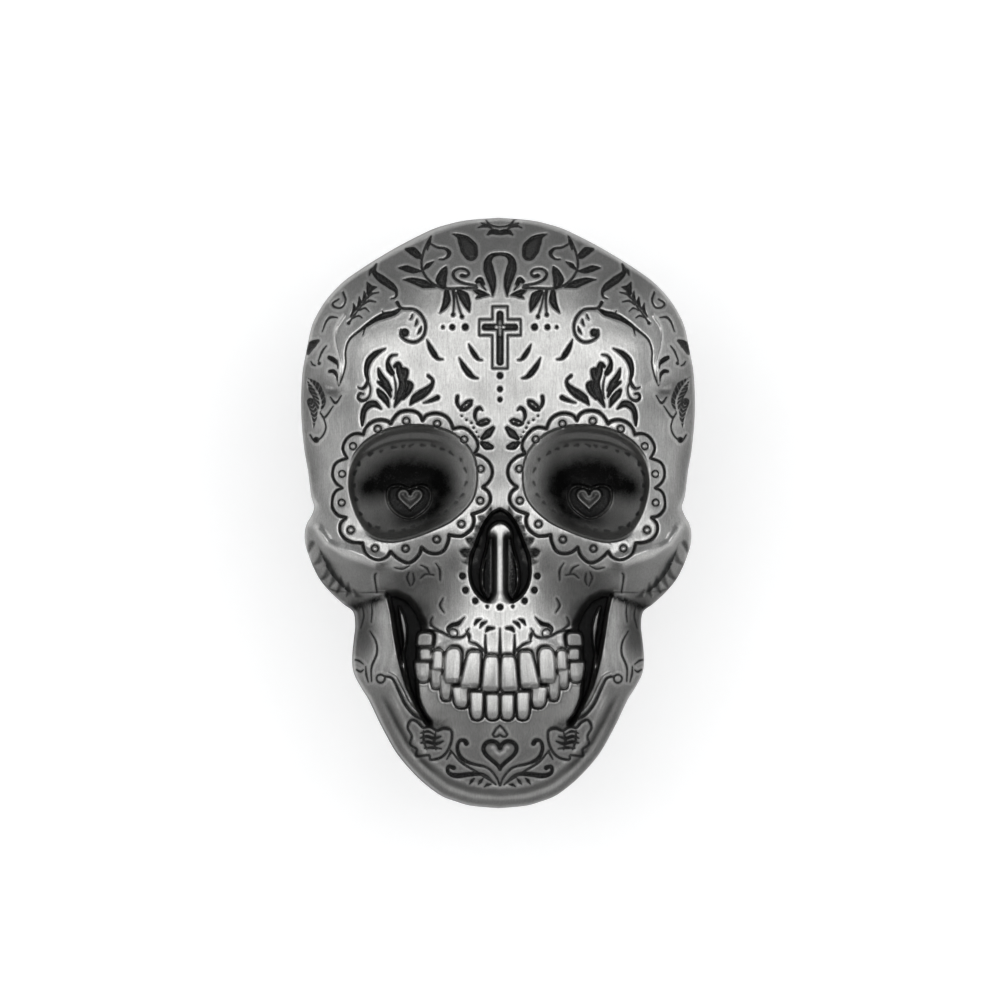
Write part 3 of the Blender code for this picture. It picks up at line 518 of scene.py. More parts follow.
def blur(a, r):
    """Two box blurs of half width r samples each way. The right side is the mirror line."""
    r = int(r)
    for _ in range(2):
        for axis in (0, 1):
            pad = [(0, 0), (0, 0)]
            pad[axis] = (r + 1, r)
            b = np.cumsum(np.pad(a, pad, mode="reflect"), axis=axis)
            n = a.shape[axis]
            hi = np.take(b, range(2 * r + 1, 2 * r + 1 + n), axis=axis)
            lo = np.take(b, range(0, n), axis=axis)
            a = (hi - lo) / (2 * r + 1)
    return a


def heart(cx, cy, width, tall=1.0):
    """A heart's outline on the sheet."""
    out = []
    for k in range(48):
        t = 2 * math.pi * k / 48
        out.append((cx + width / 32.0 * 16 * math.sin(t) ** 3,
                    cy - tall * width / 32.0 * (13 * math.cos(t) - 5 * math.cos(2 * t) - 2 * math.cos(3 * t) - math.cos(4 * t) + 2)))
    return out


# ---- masses ----------------------------------------------------------------------------------------------------------
RING = OUTLINE_HALF + [(-x, z) for x, z in OUTLINE_HALF[-2:0:-1]]
smooth_half = curve([(-x, z) for x, z in OUTLINE_HALF], 3.0)[0]
smooth_ring = [tuple(p) for p in smooth_half] + [(-p[0], p[1]) for p in smooth_half[-2:0:-1]]
inset = np.clip(inset_in(X, Z, smooth_ring), 0, None)

upper = thin_plate(UPPER)(X, Z)
lower = thin_plate(LOWER)(X, Z)
upper = upper - 0.45 * (1 - smooth(0, 1.0, oval(AX, Z, 160, 124, 18, 13, 20)))
edge = inset_in(AX, Z, [(-60, 320), (230, 320), (230, -99)] + UPPER_EDGE)
upper_edge = edge
upper = FLOOR + (upper - FLOOR) * round_over(edge, 9)
edge = inset_in(AX, Z, JAW_EDGE + [(230, -76), (230, -320), (-60, -320)])
rim_run = smooth(-172, -196, Z)
lower = lower - rim_run * (0.26 * np.exp(-(((inset - 14.0) / 4.5) ** 2)) - 0.10 * np.exp(-(((inset - 21.5) / 2.4) ** 2)))
lower = FLOOR + (lower - FLOOR) * round_over(edge, 4.5)
ridge_line = [on_sheet(p) for p in CHEEK_RIDGE]
below = inset_in(X, Z, [(-260.0, ridge_line[0][1])] + ridge_line + [(40.0, ridge_line[-1][1]), (40.0, -330.0), (-260.0, -330.0)])
ridge_run = smooth(-104, -122, X) * smooth(-190, -178, X) * smooth(-84, -66, Z) * smooth(40, 20, Z)
upper = upper + ridge_run * (0.30 * np.exp(-(((below + 2.5 + 3.6 * smooth(-162, -146, X)) / (4.5 + 1.8 * smooth(-162, -146, X))) ** 2)) - 0.16 * np.exp(-(((below - 8.0) / 6.0) ** 2)))
height = np.maximum(upper, lower)
jaw_front = (lower > upper).astype(float)
gap = blur(((upper_edge < 3) & (edge < 3)).astype(float), 3) * smooth(3.9, 3.0, height)

# a thin blade of bone stands in the gap
blade = blank()
draw(blade, [2, 5.5, 6.5, 4, 2.2, 1.8, 1.2], [(399, 607), (402, 616), (404.4, 628), (405, 642), (403, 660), (407, 684), (417, 704)])
blade_on = smooth(1.0, -1.0, blade) * (height < 3.6)
height = np.where(blade_on > 0, np.maximum(height, 3.25 * blade_on), height)

# ---- teeth -----------------------------------------------------------------------------------------------------------
recess = blank(0.0)
# bright bands on the teeth, gum lines, jaw bar, lace and septum: polished metal and painted highlights
polish_and_highlight = blank(0.0)
teeth_sd = {}
tooth_height = blank(0.0)
tooth_tip = blank(0.0)
root = blank(3.6)
for row, teeth in (("upper", UPPER_TEETH), ("lower", LOWER_TEETH)):
    sd = blank()
    for l0, r0, l1, r1, y0, y1, front in teeth:
        z0, z1 = on_sheet((l0, y0))[1], on_sheet((l1, y1))[1]
        cz, hh = (z0 + z1) / 2, (z0 - z1) / 2
        xl0, xr0, xl1, xr1 = (on_sheet((v, y0))[0] for v in (l0, r0, l1, r1))
        s = window(min(xl0, xl1) - 12, min(max(xr0, xr1) + 12, 2.4), z1 - 12, z0 + 12)
        share = np.clip((z0 - Z[s]) / (z0 - z1), -0.2, 1.2)
        mid_x = (xl0 + xr0) / 2 + ((xl1 + xr1) / 2 - (xl0 + xr0) / 2) * share
        half = (xr0 - xl0) / 2 + ((xr1 - xl1) / 2 - (xr0 - xl0) / 2) * share
        u, v = (X[s] - mid_x) / half, (Z[s] - cz) / hh
        tip = np.clip(-v if row == "upper" else v, -1, 1)
        power = (4.6 if l0 > 460 and row == "upper" else 3.0) + (2.4 if l0 > 460 and row == "upper" else 3.6) * smooth(-0.1, 0.5, tip)
        e = np.maximum((np.abs(u) ** power + np.abs(v) ** power) ** (1.0 / power), 0.02)
        slope = np.hypot((np.abs(u) / e) ** (power - 1) / half, (np.abs(v) / e) ** (power - 1) / hh)
        off = (e - 1) / np.maximum(slope, 1.0 / hh)
        sd[s] = np.minimum(sd[s], off)
        within = np.clip(-off, 0, 9)
        shape = front - 0.34 * (1 - round_over(within, 1.9)) + 0.05 * (1 - np.clip(u, -1, 1) ** 2)
        if row == "upper":
            shape = shape - 0.26 * smooth(0.70, 0.90, tip)
        else:
            shape = shape - 0.10 * smooth(-0.3, -0.95, tip)
        tooth_height[s] = np.where(off < 0.9, np.maximum(tooth_height[s], shape), tooth_height[s])
        root[s] = np.where(off < 6.0, np.maximum(root[s], front - 0.75), root[s])
        tooth_tip[s] = np.where(e < 1.0, smooth(0.62, 0.9, tip) if row == "upper" else smooth(-0.35, -0.9, tip), tooth_tip[s])
    teeth_sd[row] = sd
any_tooth = np.minimum(teeth_sd["upper"], teeth_sd["lower"])
mouth = smooth(1.9, 0.9, any_tooth)
height = height + (np.minimum(height, blur(root, 3)) - height) * mouth
gum_line = np.exp(-(((teeth_sd["lower"] - 2.7) / 0.8) ** 2)) * smooth(-150, -168, Z)
height = height + 0.10 * gum_line
gum_arch = np.exp(-(((teeth_sd["upper"] - 4.4) / 2.0) ** 2)) * smooth(-150, -132, Z) * smooth(90, 70, AX)
height = height + 0.06 * gum_arch
height = np.where(any_tooth < 0.6, np.maximum(height, tooth_height), height)
recess = np.maximum(recess, mouth * smooth(-0.1, 0.6, any_tooth))
polish_and_highlight = np.maximum(polish_and_highlight, smooth(0.4, -0.7, any_tooth) * (0.36 + 0.40 * smooth(76, 24, AX)) * (1 - 0.36 * tooth_tip))
polish_and_highlight = np.maximum(polish_and_highlight, 0.95 * gum_line)
polish_and_highlight = np.maximum(polish_and_highlight, 0.80 * gum_arch)
gum_band = blank()
draw(gum_band, [5, 8, 8, 7], [(437, 640.5), (447, 640), (458, 641.5), (470, 646)], pad=10)
polish_and_highlight = np.maximum(polish_and_highlight, 0.86 * smooth(3.0, -2.0, gum_band))
bar = blank()
draw(bar, [7, 10, 10, 8, 3], [(389, 602), (388, 618), (387, 640), (385, 658), (382, 672)], pad=10)
polish_and_highlight = np.maximum(polish_and_highlight, 0.84 * smooth(2.5, -2.5, bar))

# a thin crest runs on from the blade down the gap
seam = blank()
draw(seam, [0.8, 1.9, 2.0, 1.8, 1.6, 0.8], [(402.6, 652), (403.6, 660), (405.2, 671.6), (407.8, 684), (411, 698), (415.6, 707.6)])
seam_on = smooth(1.3, -0.7, seam) * (any_tooth > 2.5)
height = np.maximum(height, height + (3.5 - height) * seam_on * (height < 3.5))

# ---- socket and its lace ---------------------------------------------------------------------------------------------
socket_ring = [tuple(p) for p in curve([on_sheet(p) for p in SOCKET + SOCKET[:1]], 3.0)[0][:-1]]
win = window(-185, 2.4, -70, 125)
inside = blank(-99.0)
inside[win] = inset_in(X[win], Z[win], socket_ring)
lace_ring = []
for i, (arc, _) in enumerate(SCALLOPS):
    arc_line = curve([on_sheet(p) for p in arc] + [on_sheet(SCALLOPS[(i + 1) % len(SCALLOPS)][0][0])], 1.8)[0]
    lace_ring += [tuple(p) for p in arc_line[:-1]]
lace = blank()
lace[win] = -inset_in(X[win], Z[win], lace_ring)
height = height + 0.10 * smooth(1.0, -1.0, lace) * smooth(40, 0, inside)
rim_groove = smooth(1.75, 0.6, np.abs(lace))
height = height - 0.30 * rim_groove
recess = np.maximum(recess, rim_groove)
lace_dim = smooth(-130, -116, X) * smooth(-42, -54, X) * smooth(-16, -26, Z)
polish_and_highlight = np.maximum(polish_and_highlight, (0.84 - 0.74 * lace_dim) * smooth(0.0, -2.0, lace) * smooth(2, -1, inside))
ledge = 6.5 + 8.0 * smooth(45, 85, Z) - 1.5 * smooth(-125, -140, X)
nose_side = smooth(-74, -46, X)
bowl = 4.80 - (0.34 - 0.30 * nose_side) * smooth(-0.8, 6.5, inside) - 2.10 * (1 - (1 - np.clip(inside / 54.0, 0, 1)) ** 1.6)
bowl = bowl - 0.12 * (1 - nose_side) * smooth(ledge - 2.0, ledge + 2.0, inside)
bowl = np.where(inside > -1.5, bowl, 9.0)
height = smin(height, bowl, 0.10)
socket_shade = smooth(-0.5, 5.0, inside)

# rings on the lace
ring_cut, ring_dot = blank(), blank()
for _, at in SCALLOPS:
    cx, cz = on_sheet(at)
    s = window(cx - 12, min(cx + 12, 2.4), cz - 12, cz + 12)
    r = np.hypot(X[s] - cx, Z[s] - cz)
    ring_cut[s] = np.minimum(ring_cut[s], np.abs(r - 3.35) - 0.75)
    ring_dot[s] = np.minimum(ring_dot[s], r - 2.0)
m = smooth(0.7, -0.5, ring_cut)
height = height - 0.16 * m + 0.08 * smooth(0.6, -0.8, ring_dot)
recess = np.maximum(recess, m)

# ticks cut inside the rim, uneven as they are cut by hand
dash = blank()
total = len(socket_ring)
luck = np.random.default_rng(7)
for k in range(27):
    i = int((k + 0.35 * luck.random()) * total / 27) % total
    p, q = np.array(socket_ring[i]), np.array(socket_ring[(i + 2) % total])
    t = (q - p) / np.hypot(*(q - p))
    mid = np.array([-86.0, 29.0])
    inwards = (mid - p) / np.hypot(*(mid - p))
    off = 6.5 + 8.0 * float(smooth(45, 85, p[1])) - 3.5 * float(smooth(-125, -140, p[0]))
    c = p + inwards * (off + 3.2 + luck.random())
    t = t + inwards * (luck.random() - 0.5) * 0.9
    size = 1.0 + 1.3 * luck.random()
    stamp(dash, c - t * size, c + t * size, 1.5 + 0.5 * luck.random(), 0.8)
m = smooth(1.2, -0.8, dash)
height = height - 0.03 * m
dash_mark = m * (0.75 + 0.25 * smooth(-110, -145, X))

# heart in the socket
hx, hy = 410.2, 499.8
outer = [on_sheet(p) for p in heart(hx, hy, 27.5, 0.98)]
s = window(-130, -50, -20, 45)
hin = blank(-99.0)
hin[s] = inset_in(X[s], Z[s], outer)
PLATE = [(386.6, 495), (388, 488.6), (394, 485.2), (401.5, 485.2), (409, 488), (416.6, 485.6), (424.6, 485.4), (430.4, 490),
         (431.6, 498), (428, 507), (420.4, 514), (411, 518.8), (401, 517), (392.4, 510.6), (387.6, 502.6)]
plate_ring = [tuple(p) for p in curve([on_sheet(p) for p in PLATE + PLATE[:1]], 2.0)[0][:-1]]
plate_in = blank(-99.0)
plate_in[s] = inset_in(X[s], Z[s], plate_ring)
height = height + 0.40 * smooth(-1.0, 1.2, plate_in) - 0.34 * smooth(1.0, 3.2, plate_in) * smooth(1.0, -0.5, hin)
height = height + 0.30 * smooth(-0.6, 1.6, hin) - 0.14 * smooth(3.0, 6.0, hin)
height = height - 0.12 * smooth(1.4, 0.2, np.abs(X + 89.8)) * smooth(16, 24, Z) * smooth(3, 5, hin)
recess = np.maximum(recess, 0.9 * smooth(0.6, -0.8, hin) * smooth(1.2, 2.6, plate_in))
# bright lines on the boss's edges: polish and a painted highlight
boss_polish_and_highlight = np.maximum(smooth(1.3, 0.2, np.abs(plate_in - 0.6)) * 0.8, smooth(1.5, 0.2, np.abs(hin - 2.0)))

# ---- nose --------------------------------------------------------------------------------------------------------------
nose_ring = [on_sheet(p) for p in NOSE]
nose_line = curve(nose_ring, 2.0)[0]
nose_poly = [tuple(p) for p in nose_line] + [(40.0, nose_ring[-1][1]), (40.0, nose_ring[0][1])]
s = window(-60, 2.4, -100, 20)
nin = blank(-99.0)
nin[s] = inset_in(X[s], Z[s], nose_poly)
hollow = 5.5 - 0.75 * np.clip(nin + 1.2, 0, 3.2)
hollow = np.where(nin > -5, hollow, 9.0)
height = smin(height, hollow, 0.12)
half_piece = 12.5 + 7.5 * smooth(-22, -62, Z) - 5.0 * smooth(-70, -88, Z)
arch = 12.5 * (1 - oval(AX, Z, 0, -23.0, 12.8, 15.0, 0, 2.0))
piece = np.where(Z > -23.0, arch, np.minimum(half_piece - AX, Z + 102.0))
scoop = smooth(2.2, 8.0, AX) * smooth(-17, -26, Z - 3.0 * smooth(4, 12, AX))
flare = smooth(-76, -90, Z)
septum_half = 2.9 + 6.8 * flare**2
bone = 5.15 - 0.85 * smooth(septum_half - 1.2, septum_half + 6.0, AX) * smooth(-17, -27, Z) + 0.06 * smooth(-10, -24, Z) * smooth(-34, -24, Z) * smooth(8, 2, AX)
bone = bone + 0.34 * np.exp(-(((AX - half_piece + 2.2) / 1.1) ** 2)) * smooth(-40, -52, Z) * smooth(-84, -70, Z)
bone = 3.3 + (bone - 3.3) * round_over(piece, 2.6)
height = np.where((piece > 0) & (nin > -3), np.maximum(height, bone), height)
ring_dark = smooth(-1.0, 1.5, nin) * smooth(1.8, -0.6, piece)
core = ring_dark * np.maximum(smooth(7.5, 3.5, -piece), smooth(-46, -56, Z) * smooth(-94, -82, Z))
recess = np.maximum(recess, core)
nose_shade = 0.84 * ring_dark
tongue = smooth(0.0, 2.0, piece) * smooth(-1.0, 1.0, nin) * smooth(-20, -26, Z) * smooth(septum_half - 0.6, septum_half + 3.0, AX)
nose_shade = np.maximum(nose_shade, tongue * (0.58 + 0.40 * smooth(5.5, 11.0, AX)))
glint = np.exp(-(((AX - half_piece + 2.2) / 0.8) ** 2)) * smooth(-42, -52, Z) * smooth(-84, -72, Z)
nose_shade = nose_shade * (1 - 0.7 * glint)
septum = smooth(septum_half + 1.6, septum_half - 1.0, AX) * smooth(0, 2, piece) * smooth(-18, -24, Z)
septum = np.maximum(septum, smooth(-24.5, -20.5, Z + 3.5 * smooth(9, 2, AX) - 1.0 * smooth(7, 12, AX)) * smooth(-0.6, 1.2, piece))
polish_and_highlight = np.maximum(polish_and_highlight, 0.88 * np.clip(septum, 0, 1))
# points round the nose
petals = blank()
for widths, pts in (([1, 4, 6], [(491, 506.4), (490.4, 510), (489, 515)]), ([1.4, 7, 9], [(478.8, 516.6), (482.6, 519), (488, 522)]),
                    ([1.4, 8, 10], [(475.2, 526.4), (479, 528.6), (485, 532)]), ([1.4, 8, 11], [(466.2, 538.2), (470.6, 540.8), (479, 544)]),
                    ([3, 10, 12], [(460.8, 551.2), (465.6, 552.4), (474, 555)]), ([1, 3, 4], [(462, 562), (466, 562.6), (471, 564)])):
    draw(petals, widths, pts)
band = smooth(-5.6, -3.6, nin + 0.8 * np.sin(Z * 1.7)) * smooth(-56, -46, Z) * smooth(-1, -8, Z)
m = np.maximum(smooth(1.0, -0.9, petals), 0.92 * band) * smooth(1.0, -1.5, piece)
height = height - 0.07 * m
nose_shade = np.maximum(nose_shade, 0.89 * m)
under_nose = smooth(9.5, 6.5, AX) * smooth(-98, -94, Z) * smooth(-76, -81, Z)
height = height + (blur(height, 5) - height) * under_nose

# ---- ornament ----------------------------------------------------------------------------------------------------------
cut = blank()
for widths, pts in STROKES:
    draw(cut, widths, pts)
for widths, pts in CORNERED:
    draw(cut, widths, pts, sharp=True)
for x, y, r in DOTS:
    dot(cut, x, y, r)
for x, y, r, w in RINGS:
    c = on_sheet((x, y))
    s = window(c[0] - 12, min(c[0] + 12, 2.4), c[1] - 12, c[1] + 12)
    cut[s] = np.minimum(cut[s], np.abs(np.hypot(X[s] - c[0], Z[s] - c[1]) - r) - w / 2)

feather = blank()
barbs = blank()
for width, spine in FEATHERS:
    draw(feather, [1.5, width * 0.9, width, 1.5], spine)
    line, place = curve([on_sheet(p) for p in spine], 5.2)
    for i in range(1, len(line) - 1):
        t = line[i + 1] - line[i - 1]
        t = t / np.hypot(*t)
        n = np.array([-t[1], t[0]])
        size = width * 0.42 * math.sin(math.pi * min(1.0, (i + 0.5) / len(line)) ** 0.9)
        for side in (1, -1):
            stamp(barbs, line[i], line[i] + (n * side + t * 0.9) * size, 0.45, 0.2)
heart_line = [(p[0] - 500.0, CY - p[1]) for p in heart(500, 753.6, 34, 0.95)]
s = window(-30, 8, -262, -222)
chin_heart = blank(-99.0)
chin_heart[s] = inset_in(X[s], Z[s], heart_line)
cut = np.minimum(cut, np.abs(chin_heart - 0.4) - 1.9)

smudge = blank()
for widths, pts in SMUDGES:
    draw(smudge, [1.25 * w for w in widths], pts)
smudge = smooth(1.6, -1.4, smudge)
height = height - 0.12 * smudge
groove = smooth(0.7, -1.5, cut)
core_in = smooth(-2.0, -4.0, cut)
depth = 0.13 + 0.20 * smooth(-0.4, -2.4, cut) - 0.14 * core_in
height = height - depth * groove
recess = np.maximum(recess, smooth(0.9, -0.5, cut) * (1 - 0.26 * core_in))
m = smooth(0.6, -1.4, feather)
height = height - 0.16 * m + 0.10 * m * smooth(0.7, -0.2, barbs)
recess = np.maximum(recess, 0.95 * m * (1 - 0.6 * smooth(0.5, -0.3, barbs)))
height = height + 0.20 * smooth(1.8, 7.5, chin_heart) - 0.08 * smooth(1.4, 0.0, AX) * smooth(-244, -234, Z) * smooth(3, 6, chin_heart)
# painted highlight round the top of the chin heart
painted_chin_highlight = np.exp(-(((chin_heart - 5.6) / 1.7) ** 2)) * smooth(-246, -236, Z) * smooth(11, 7, AX)
# the burr thrown up along a stroke; its share also paints a highlight on it, on raised lines and on the cheekbone's
# ridge
burr_and_highlight = np.exp(-(((cut - 2.0) / 0.9) ** 2)) + np.exp(-(((lace - 3.0) / 1.0) ** 2))
height = height + 0.016 * burr_and_highlight
burr_and_highlight = np.maximum(burr_and_highlight, gum_line)
for h, widths, pts in RAISED:
    f = blank()
    draw(f, widths, pts)
    m = smooth(0.9, -0.6, f)
    height = height + h * m
    recess = recess * (1 - 0.9 * m)
    burr_and_highlight = np.maximum(burr_and_highlight, m)

# ---- edge --------------------------------------------------------------------------------------------------------------
roll = EDGE + 3.4 * round_over(inset, 46) + 0.03 * inset
height = smin(height, roll, 0.35)
height = height + ridge_run * 0.21 * np.exp(-(((below + 3.0 + 3.6 * smooth(-162, -146, X)) / (4.0 + 1.8 * smooth(-162, -146, X))) ** 2)) * smooth(3, 12, inset)
height = np.maximum(height, EDGE)
height = blur(height, 1)

# ---- what the finish needs to know -----------------------------------------------------------------------------------
big = blur(height, 30)
mid = blur(height, 9)
fine = blur(height, 3)
gz, gx = np.gradient(mid, STEP * DU)
facing = 1.0 / np.sqrt(1 + gx**2 + gz**2)
hollow_mid = np.clip((big - mid) / 0.45, -1, 1)
crisp = np.clip((fine - height) / 0.06, -1, 1)
gap_dark = smooth(3.1, 2.4, height) * (inset > 12) * (1 - socket_shade) * (1 - blade_on)
recess = np.clip(np.maximum(np.maximum(recess, gap_dark) * (1 - seam_on), 0.80 * dash_mark), 0, 1)
rub_and_light_upper, rub_and_light_middle, rub_and_light_jaw = (np.clip(thin_plate(p)(X, Z), 0.05, 1.0) for p in (RUB_AND_LIGHT_UPPER, RUB_AND_LIGHT_MIDDLE, RUB_AND_LIGHT_JAW))
# the metal's lightness: the dark wash rubbed off, and painted highlights and painted shade as well
wear_and_painted_light = rub_and_light_upper + (rub_and_light_middle - rub_and_light_upper) * smooth(-2.0, 3.0, below)
wear_and_painted_light = wear_and_painted_light + (rub_and_light_jaw - wear_and_painted_light) * blur(jaw_front, 3)
# painted highlight along the cheekbone's ridge, in the colour and in the burr's brightening
painted_ridge_highlight = np.exp(-(((below + 3.4 + 3.6 * smooth(-162, -146, X)) / 5.6) ** 2)) * smooth(-114, -128, X) * smooth(-190, -178, X)
wear_and_painted_light = np.maximum(wear_and_painted_light, painted_ridge_highlight)
burr_and_highlight = np.maximum(burr_and_highlight, 0.9 * painted_ridge_highlight * smooth(-168, -150, X))
wear_and_painted_light = wear_and_painted_light * (1 - 0.45 * smooth(0.25, 0.95, hollow_mid) * (1 - polish_and_highlight))
wear_and_painted_light = np.maximum(wear_and_painted_light, polish_and_highlight)
# painted shade deep in the socket, above the heart
painted_socket_shade = blank()
draw(painted_socket_shade, [12, 20, 26, 28, 26, 22, 14, 8, 4, 2], [(368, 488), (382, 482), (397, 476), (411, 475), (425, 477), (437, 482), (442, 492),
                                              (436, 506), (424, 517), (404, 518.5)], pad=30)
painted_socket_shade = smooth(19.0, -7.0, painted_socket_shade) * smooth(-14, 6, inside)
# painted light and shade in the socket's bowl: lighter towards the nose and near the rim, dark elsewhere
socket_painted_light = 0.10 + 0.16 * smooth(60, -30, Z - 0.35 * X - 30) * smooth(40, 10, inside) + 0.16 * smooth(ledge + 1.5, ledge - 2.5, inside)
socket_painted_light = socket_painted_light + 0.42 * smooth(-66, -30, X) * smooth(26, 4, inside) * smooth(80, 50, Z)
socket_painted_light = socket_painted_light + 0.20 * smooth(5.5, 0.5, inside) * smooth(70, 20, Z) + 0.12 * smooth(-112, -138, X)
wear_and_painted_light = wear_and_painted_light + (socket_painted_light - wear_and_painted_light) * socket_shade
wear_and_painted_light = np.maximum(wear_and_painted_light, 0.40 * boss_polish_and_highlight)
wear_and_painted_light = wear_and_painted_light * (1 - 0.5 * blade_on)
wear_and_painted_light = np.where(blade_on > 0.3, np.minimum(wear_and_painted_light, 0.34), wear_and_painted_light)
wear_and_painted_light = np.maximum(wear_and_painted_light, 0.66 * painted_chin_highlight)
# the crest in the gap is painted light: a painted highlight
wear_and_painted_light = wear_and_painted_light + (0.80 - wear_and_painted_light) * seam_on
# small convex edges are painted lighter: a painted edge highlight
wear_and_painted_light = np.clip(wear_and_painted_light + 0.22 * np.clip(-crisp, 0, 1) * (1 - recess) * (1 - socket_shade), 0, 1)
# along the jaw's rim: a painted highlight on the ridge and painted shade in the groove
rim_line = rim_run * jaw_front
wear_and_painted_light = wear_and_painted_light + 0.20 * rim_line * np.exp(-(((inset - 21.5) / 1.8) ** 2))
shade = np.maximum(1.0 * painted_socket_shade * (1 - 0.75 * boss_polish_and_highlight), nose_shade)
shade = np.maximum(shade, 0.92 * gap_dark)
shade = np.maximum(shade, 0.62 * jaw_front * smooth(9.0, 1.5, edge) * smooth(-76, -92, Z) * smooth(-205, -190, Z))
shade = np.maximum(shade, 0.14 * jaw_front * smooth(-150, -176, Z))
shade = np.maximum(shade, 0.62 * rim_line * np.exp(-(((inset - 14.0) / 3.4) ** 2)) * smooth(-268, -250, Z))
# painted shade beside the gap, under the cheekbone and in the dent at the temple
beside = blank()
draw(beside, [10, 16, 20, 16, 10, 4], [(416, 600), (424, 612), (420, 628), (412, 642), (408, 655), (409, 668)], pad=22)
shade = np.maximum(shade, 0.66 * smooth(13.0, -7.0, beside) * (1 - polish_and_highlight))
hollow_cheek = oval(X, Z, -76, -74, 46, 34, -30)
shade = np.maximum(shade, 0.46 * smooth(1.25, 0.35, hollow_cheek) * smooth(4, 9, below))
shade = np.maximum(shade, 0.40 * smooth(1.2, 0.3, oval(X, Z, -40, -48, 20, 18, 30)) * smooth(-0.5, 2.0, lace))
under = blank()
draw(under, [4, 6, 6, 5, 3], [(347, 607), (354, 607.5), (364, 604), (376, 599.5), (388, 595)], pad=10)
shade = np.maximum(shade, 0.92 * smooth(3.0, -1.0, under))
shade = np.maximum(shade, 0.50 * smooth(1.3, 0.5, oval(X, Z, -138, -112, 15, 34, 0)) * jaw_front)
shade = np.maximum(shade, 0.40 * smooth(1.2, 0.3, oval(X, Z, -176, 124, 18, 12, -25)))
shade = np.maximum(shade, 0.45 * smooth(16, 2, inset) * smooth(-215, -160, -np.abs(X)) * smooth(0, 30, Z) * smooth(170, 140, Z))
shade = np.maximum(shade, 0.55 * smooth(3.0, 0.0, np.abs(inset - 2.0)) * smooth(12, -6, Z) * smooth(-14, 6, Z))
shade = np.maximum(shade, 0.66 * smudge)
shade = np.maximum(shade, 0.62 * dash_mark)
shade = np.maximum(shade, 0.55 * smooth(1.4, 0.3, oval(X, Z, -68, -226.5, 13, 9, 0)))
rose_top = blank()
draw(rose_top, [8, 9, 7, 3], [(418, 716), (427, 721), (438, 724), (449, 727)], pad=12)
shade = np.maximum(shade, 0.72 * smooth(6.0, -3.0, rose_top))
shade = shade * (1 - seam_on)
# patches of patina, uneven as hand wiping leaves them
patina = blur(np.random.default_rng(3).standard_normal(X.shape), 14)
patina = np.clip(patina / patina.std(), -2.5, 2.5)
patina2 = blur(np.random.default_rng(5).standard_normal(X.shape), 5)
patina2 = np.clip(patina2 / patina2.std(), -2.5, 2.5)
wear_and_painted_light = wear_and_painted_light * (1 + 0.045 * patina + 0.035 * patina2)
shade = np.clip(shade * (1 + 0.05 * patina2), 0, 1)
FIELDS = {"height": height, "recess": recess, "wear_and_painted_light": blur(wear_and_painted_light, 1), "burr_and_highlight": np.clip(burr_and_highlight, 0, 1),
          "shade": blur(shade, 1)}


def sample(field, x, z):
    """Values of a field at x, z in drawing units, both halves."""
    u = -np.abs(x - lean(x))
    j = np.clip((u + 200.0) / STEP, 0, NX - 1.001)
    i = np.clip((298.0 - z) / STEP, 0, NZ - 1.001)
    i0, j0 = i.astype(int), j.astype(int)
    a, b = i - i0, j - j0
    return (field[i0, j0] * (1 - a) * (1 - b) + field[i0 + 1, j0] * a * (1 - b)
            + field[i0, j0 + 1] * (1 - a) * b + field[i0 + 1, j0 + 1] * a * b)


# ======================================================================================================================
# The casting
# ======================================================================================================================
def reach(angle):
    dx, dz = np.cos(angle), np.sin(angle)
    best = np.zeros(angle.shape)
    for (x1, z1), (x2, z2) in zip(smooth_ring, smooth_ring[1:] + smooth_ring[:1]):
        ex, ez = x2 - x1, z2 - z1
        det = ex * dz - ez * dx
        det = np.where(np.abs(det) < 1e-9, 1e-9, det)
        t = (ex * z1 - ez * x1) / det
        q = (dx * z1 - dz * x1) / det
        best = np.where((t > 0) & (q >= -1e-6) & (q <= 1 + 1e-6), np.maximum(best, t), best)
    return best


N = 560
line_u = np.linspace(-1, 1, N + 1)
U, V = np.meshgrid(line_u, line_u)
wide = np.abs(U) >= np.abs(V)
safe_u, safe_v = np.where(U == 0, 1, U), np.where(V == 0, 1, V)
r = np.where(wide, np.abs(U), np.abs(V))
ang = np.where(wide, (np.pi / 4) * (V / safe_u) + np.where(U > 0, 0, np.pi),
               np.where(V > 0, np.pi / 2, -np.pi / 2) - (np.pi / 4) * (U / safe_v))
table_a = np.linspace(-np.pi, np.pi, 4001)
table_r = reach(table_a)
d = np.interp((ang + np.pi) % (2 * np.pi) - np.pi, table_a, table_r)
PX, PZ = r * d * np.cos(ang), r * d * np.sin(ang)
PH = np.maximum(sample(height, PX, PZ), EDGE)
top = np.stack([PX * DU, -PH, PZ * DU], -1).reshape(-1, 3)
index = np.arange((N + 1) ** 2).reshape(N + 1, N + 1)
quads = np.stack([index[:-1, :-1], index[:-1, 1:], index[1:, 1:], index[1:, :-1]], -1).reshape(-1, 4)
rim = np.concatenate([index[0, :-1], index[:-1, -1], index[-1, :0:-1], index[:0:-1, 0]])
points, faces = [top], [quads]
count, last = len(top), rim
rim_xz = top[rim][:, [0, 2]]
BACK_RINGS = ((-1.2, 1.0), (-0.7, 1.0), (-0.33, 1.0), (-0.16, 0.994), (-0.08, 0.984), (-0.08, 0.95), (-0.08, 0.9), (-0.08, 0.8),
              (-0.08, 0.7), (-0.08, 0.6), (-0.08, 0.5), (-0.08, 0.4), (-0.08, 0.32), (-0.08, 0.258), (-0.02, 0.252), (0.0, 0.246),
              (0.0, 0.16), (0.0, 0.08))
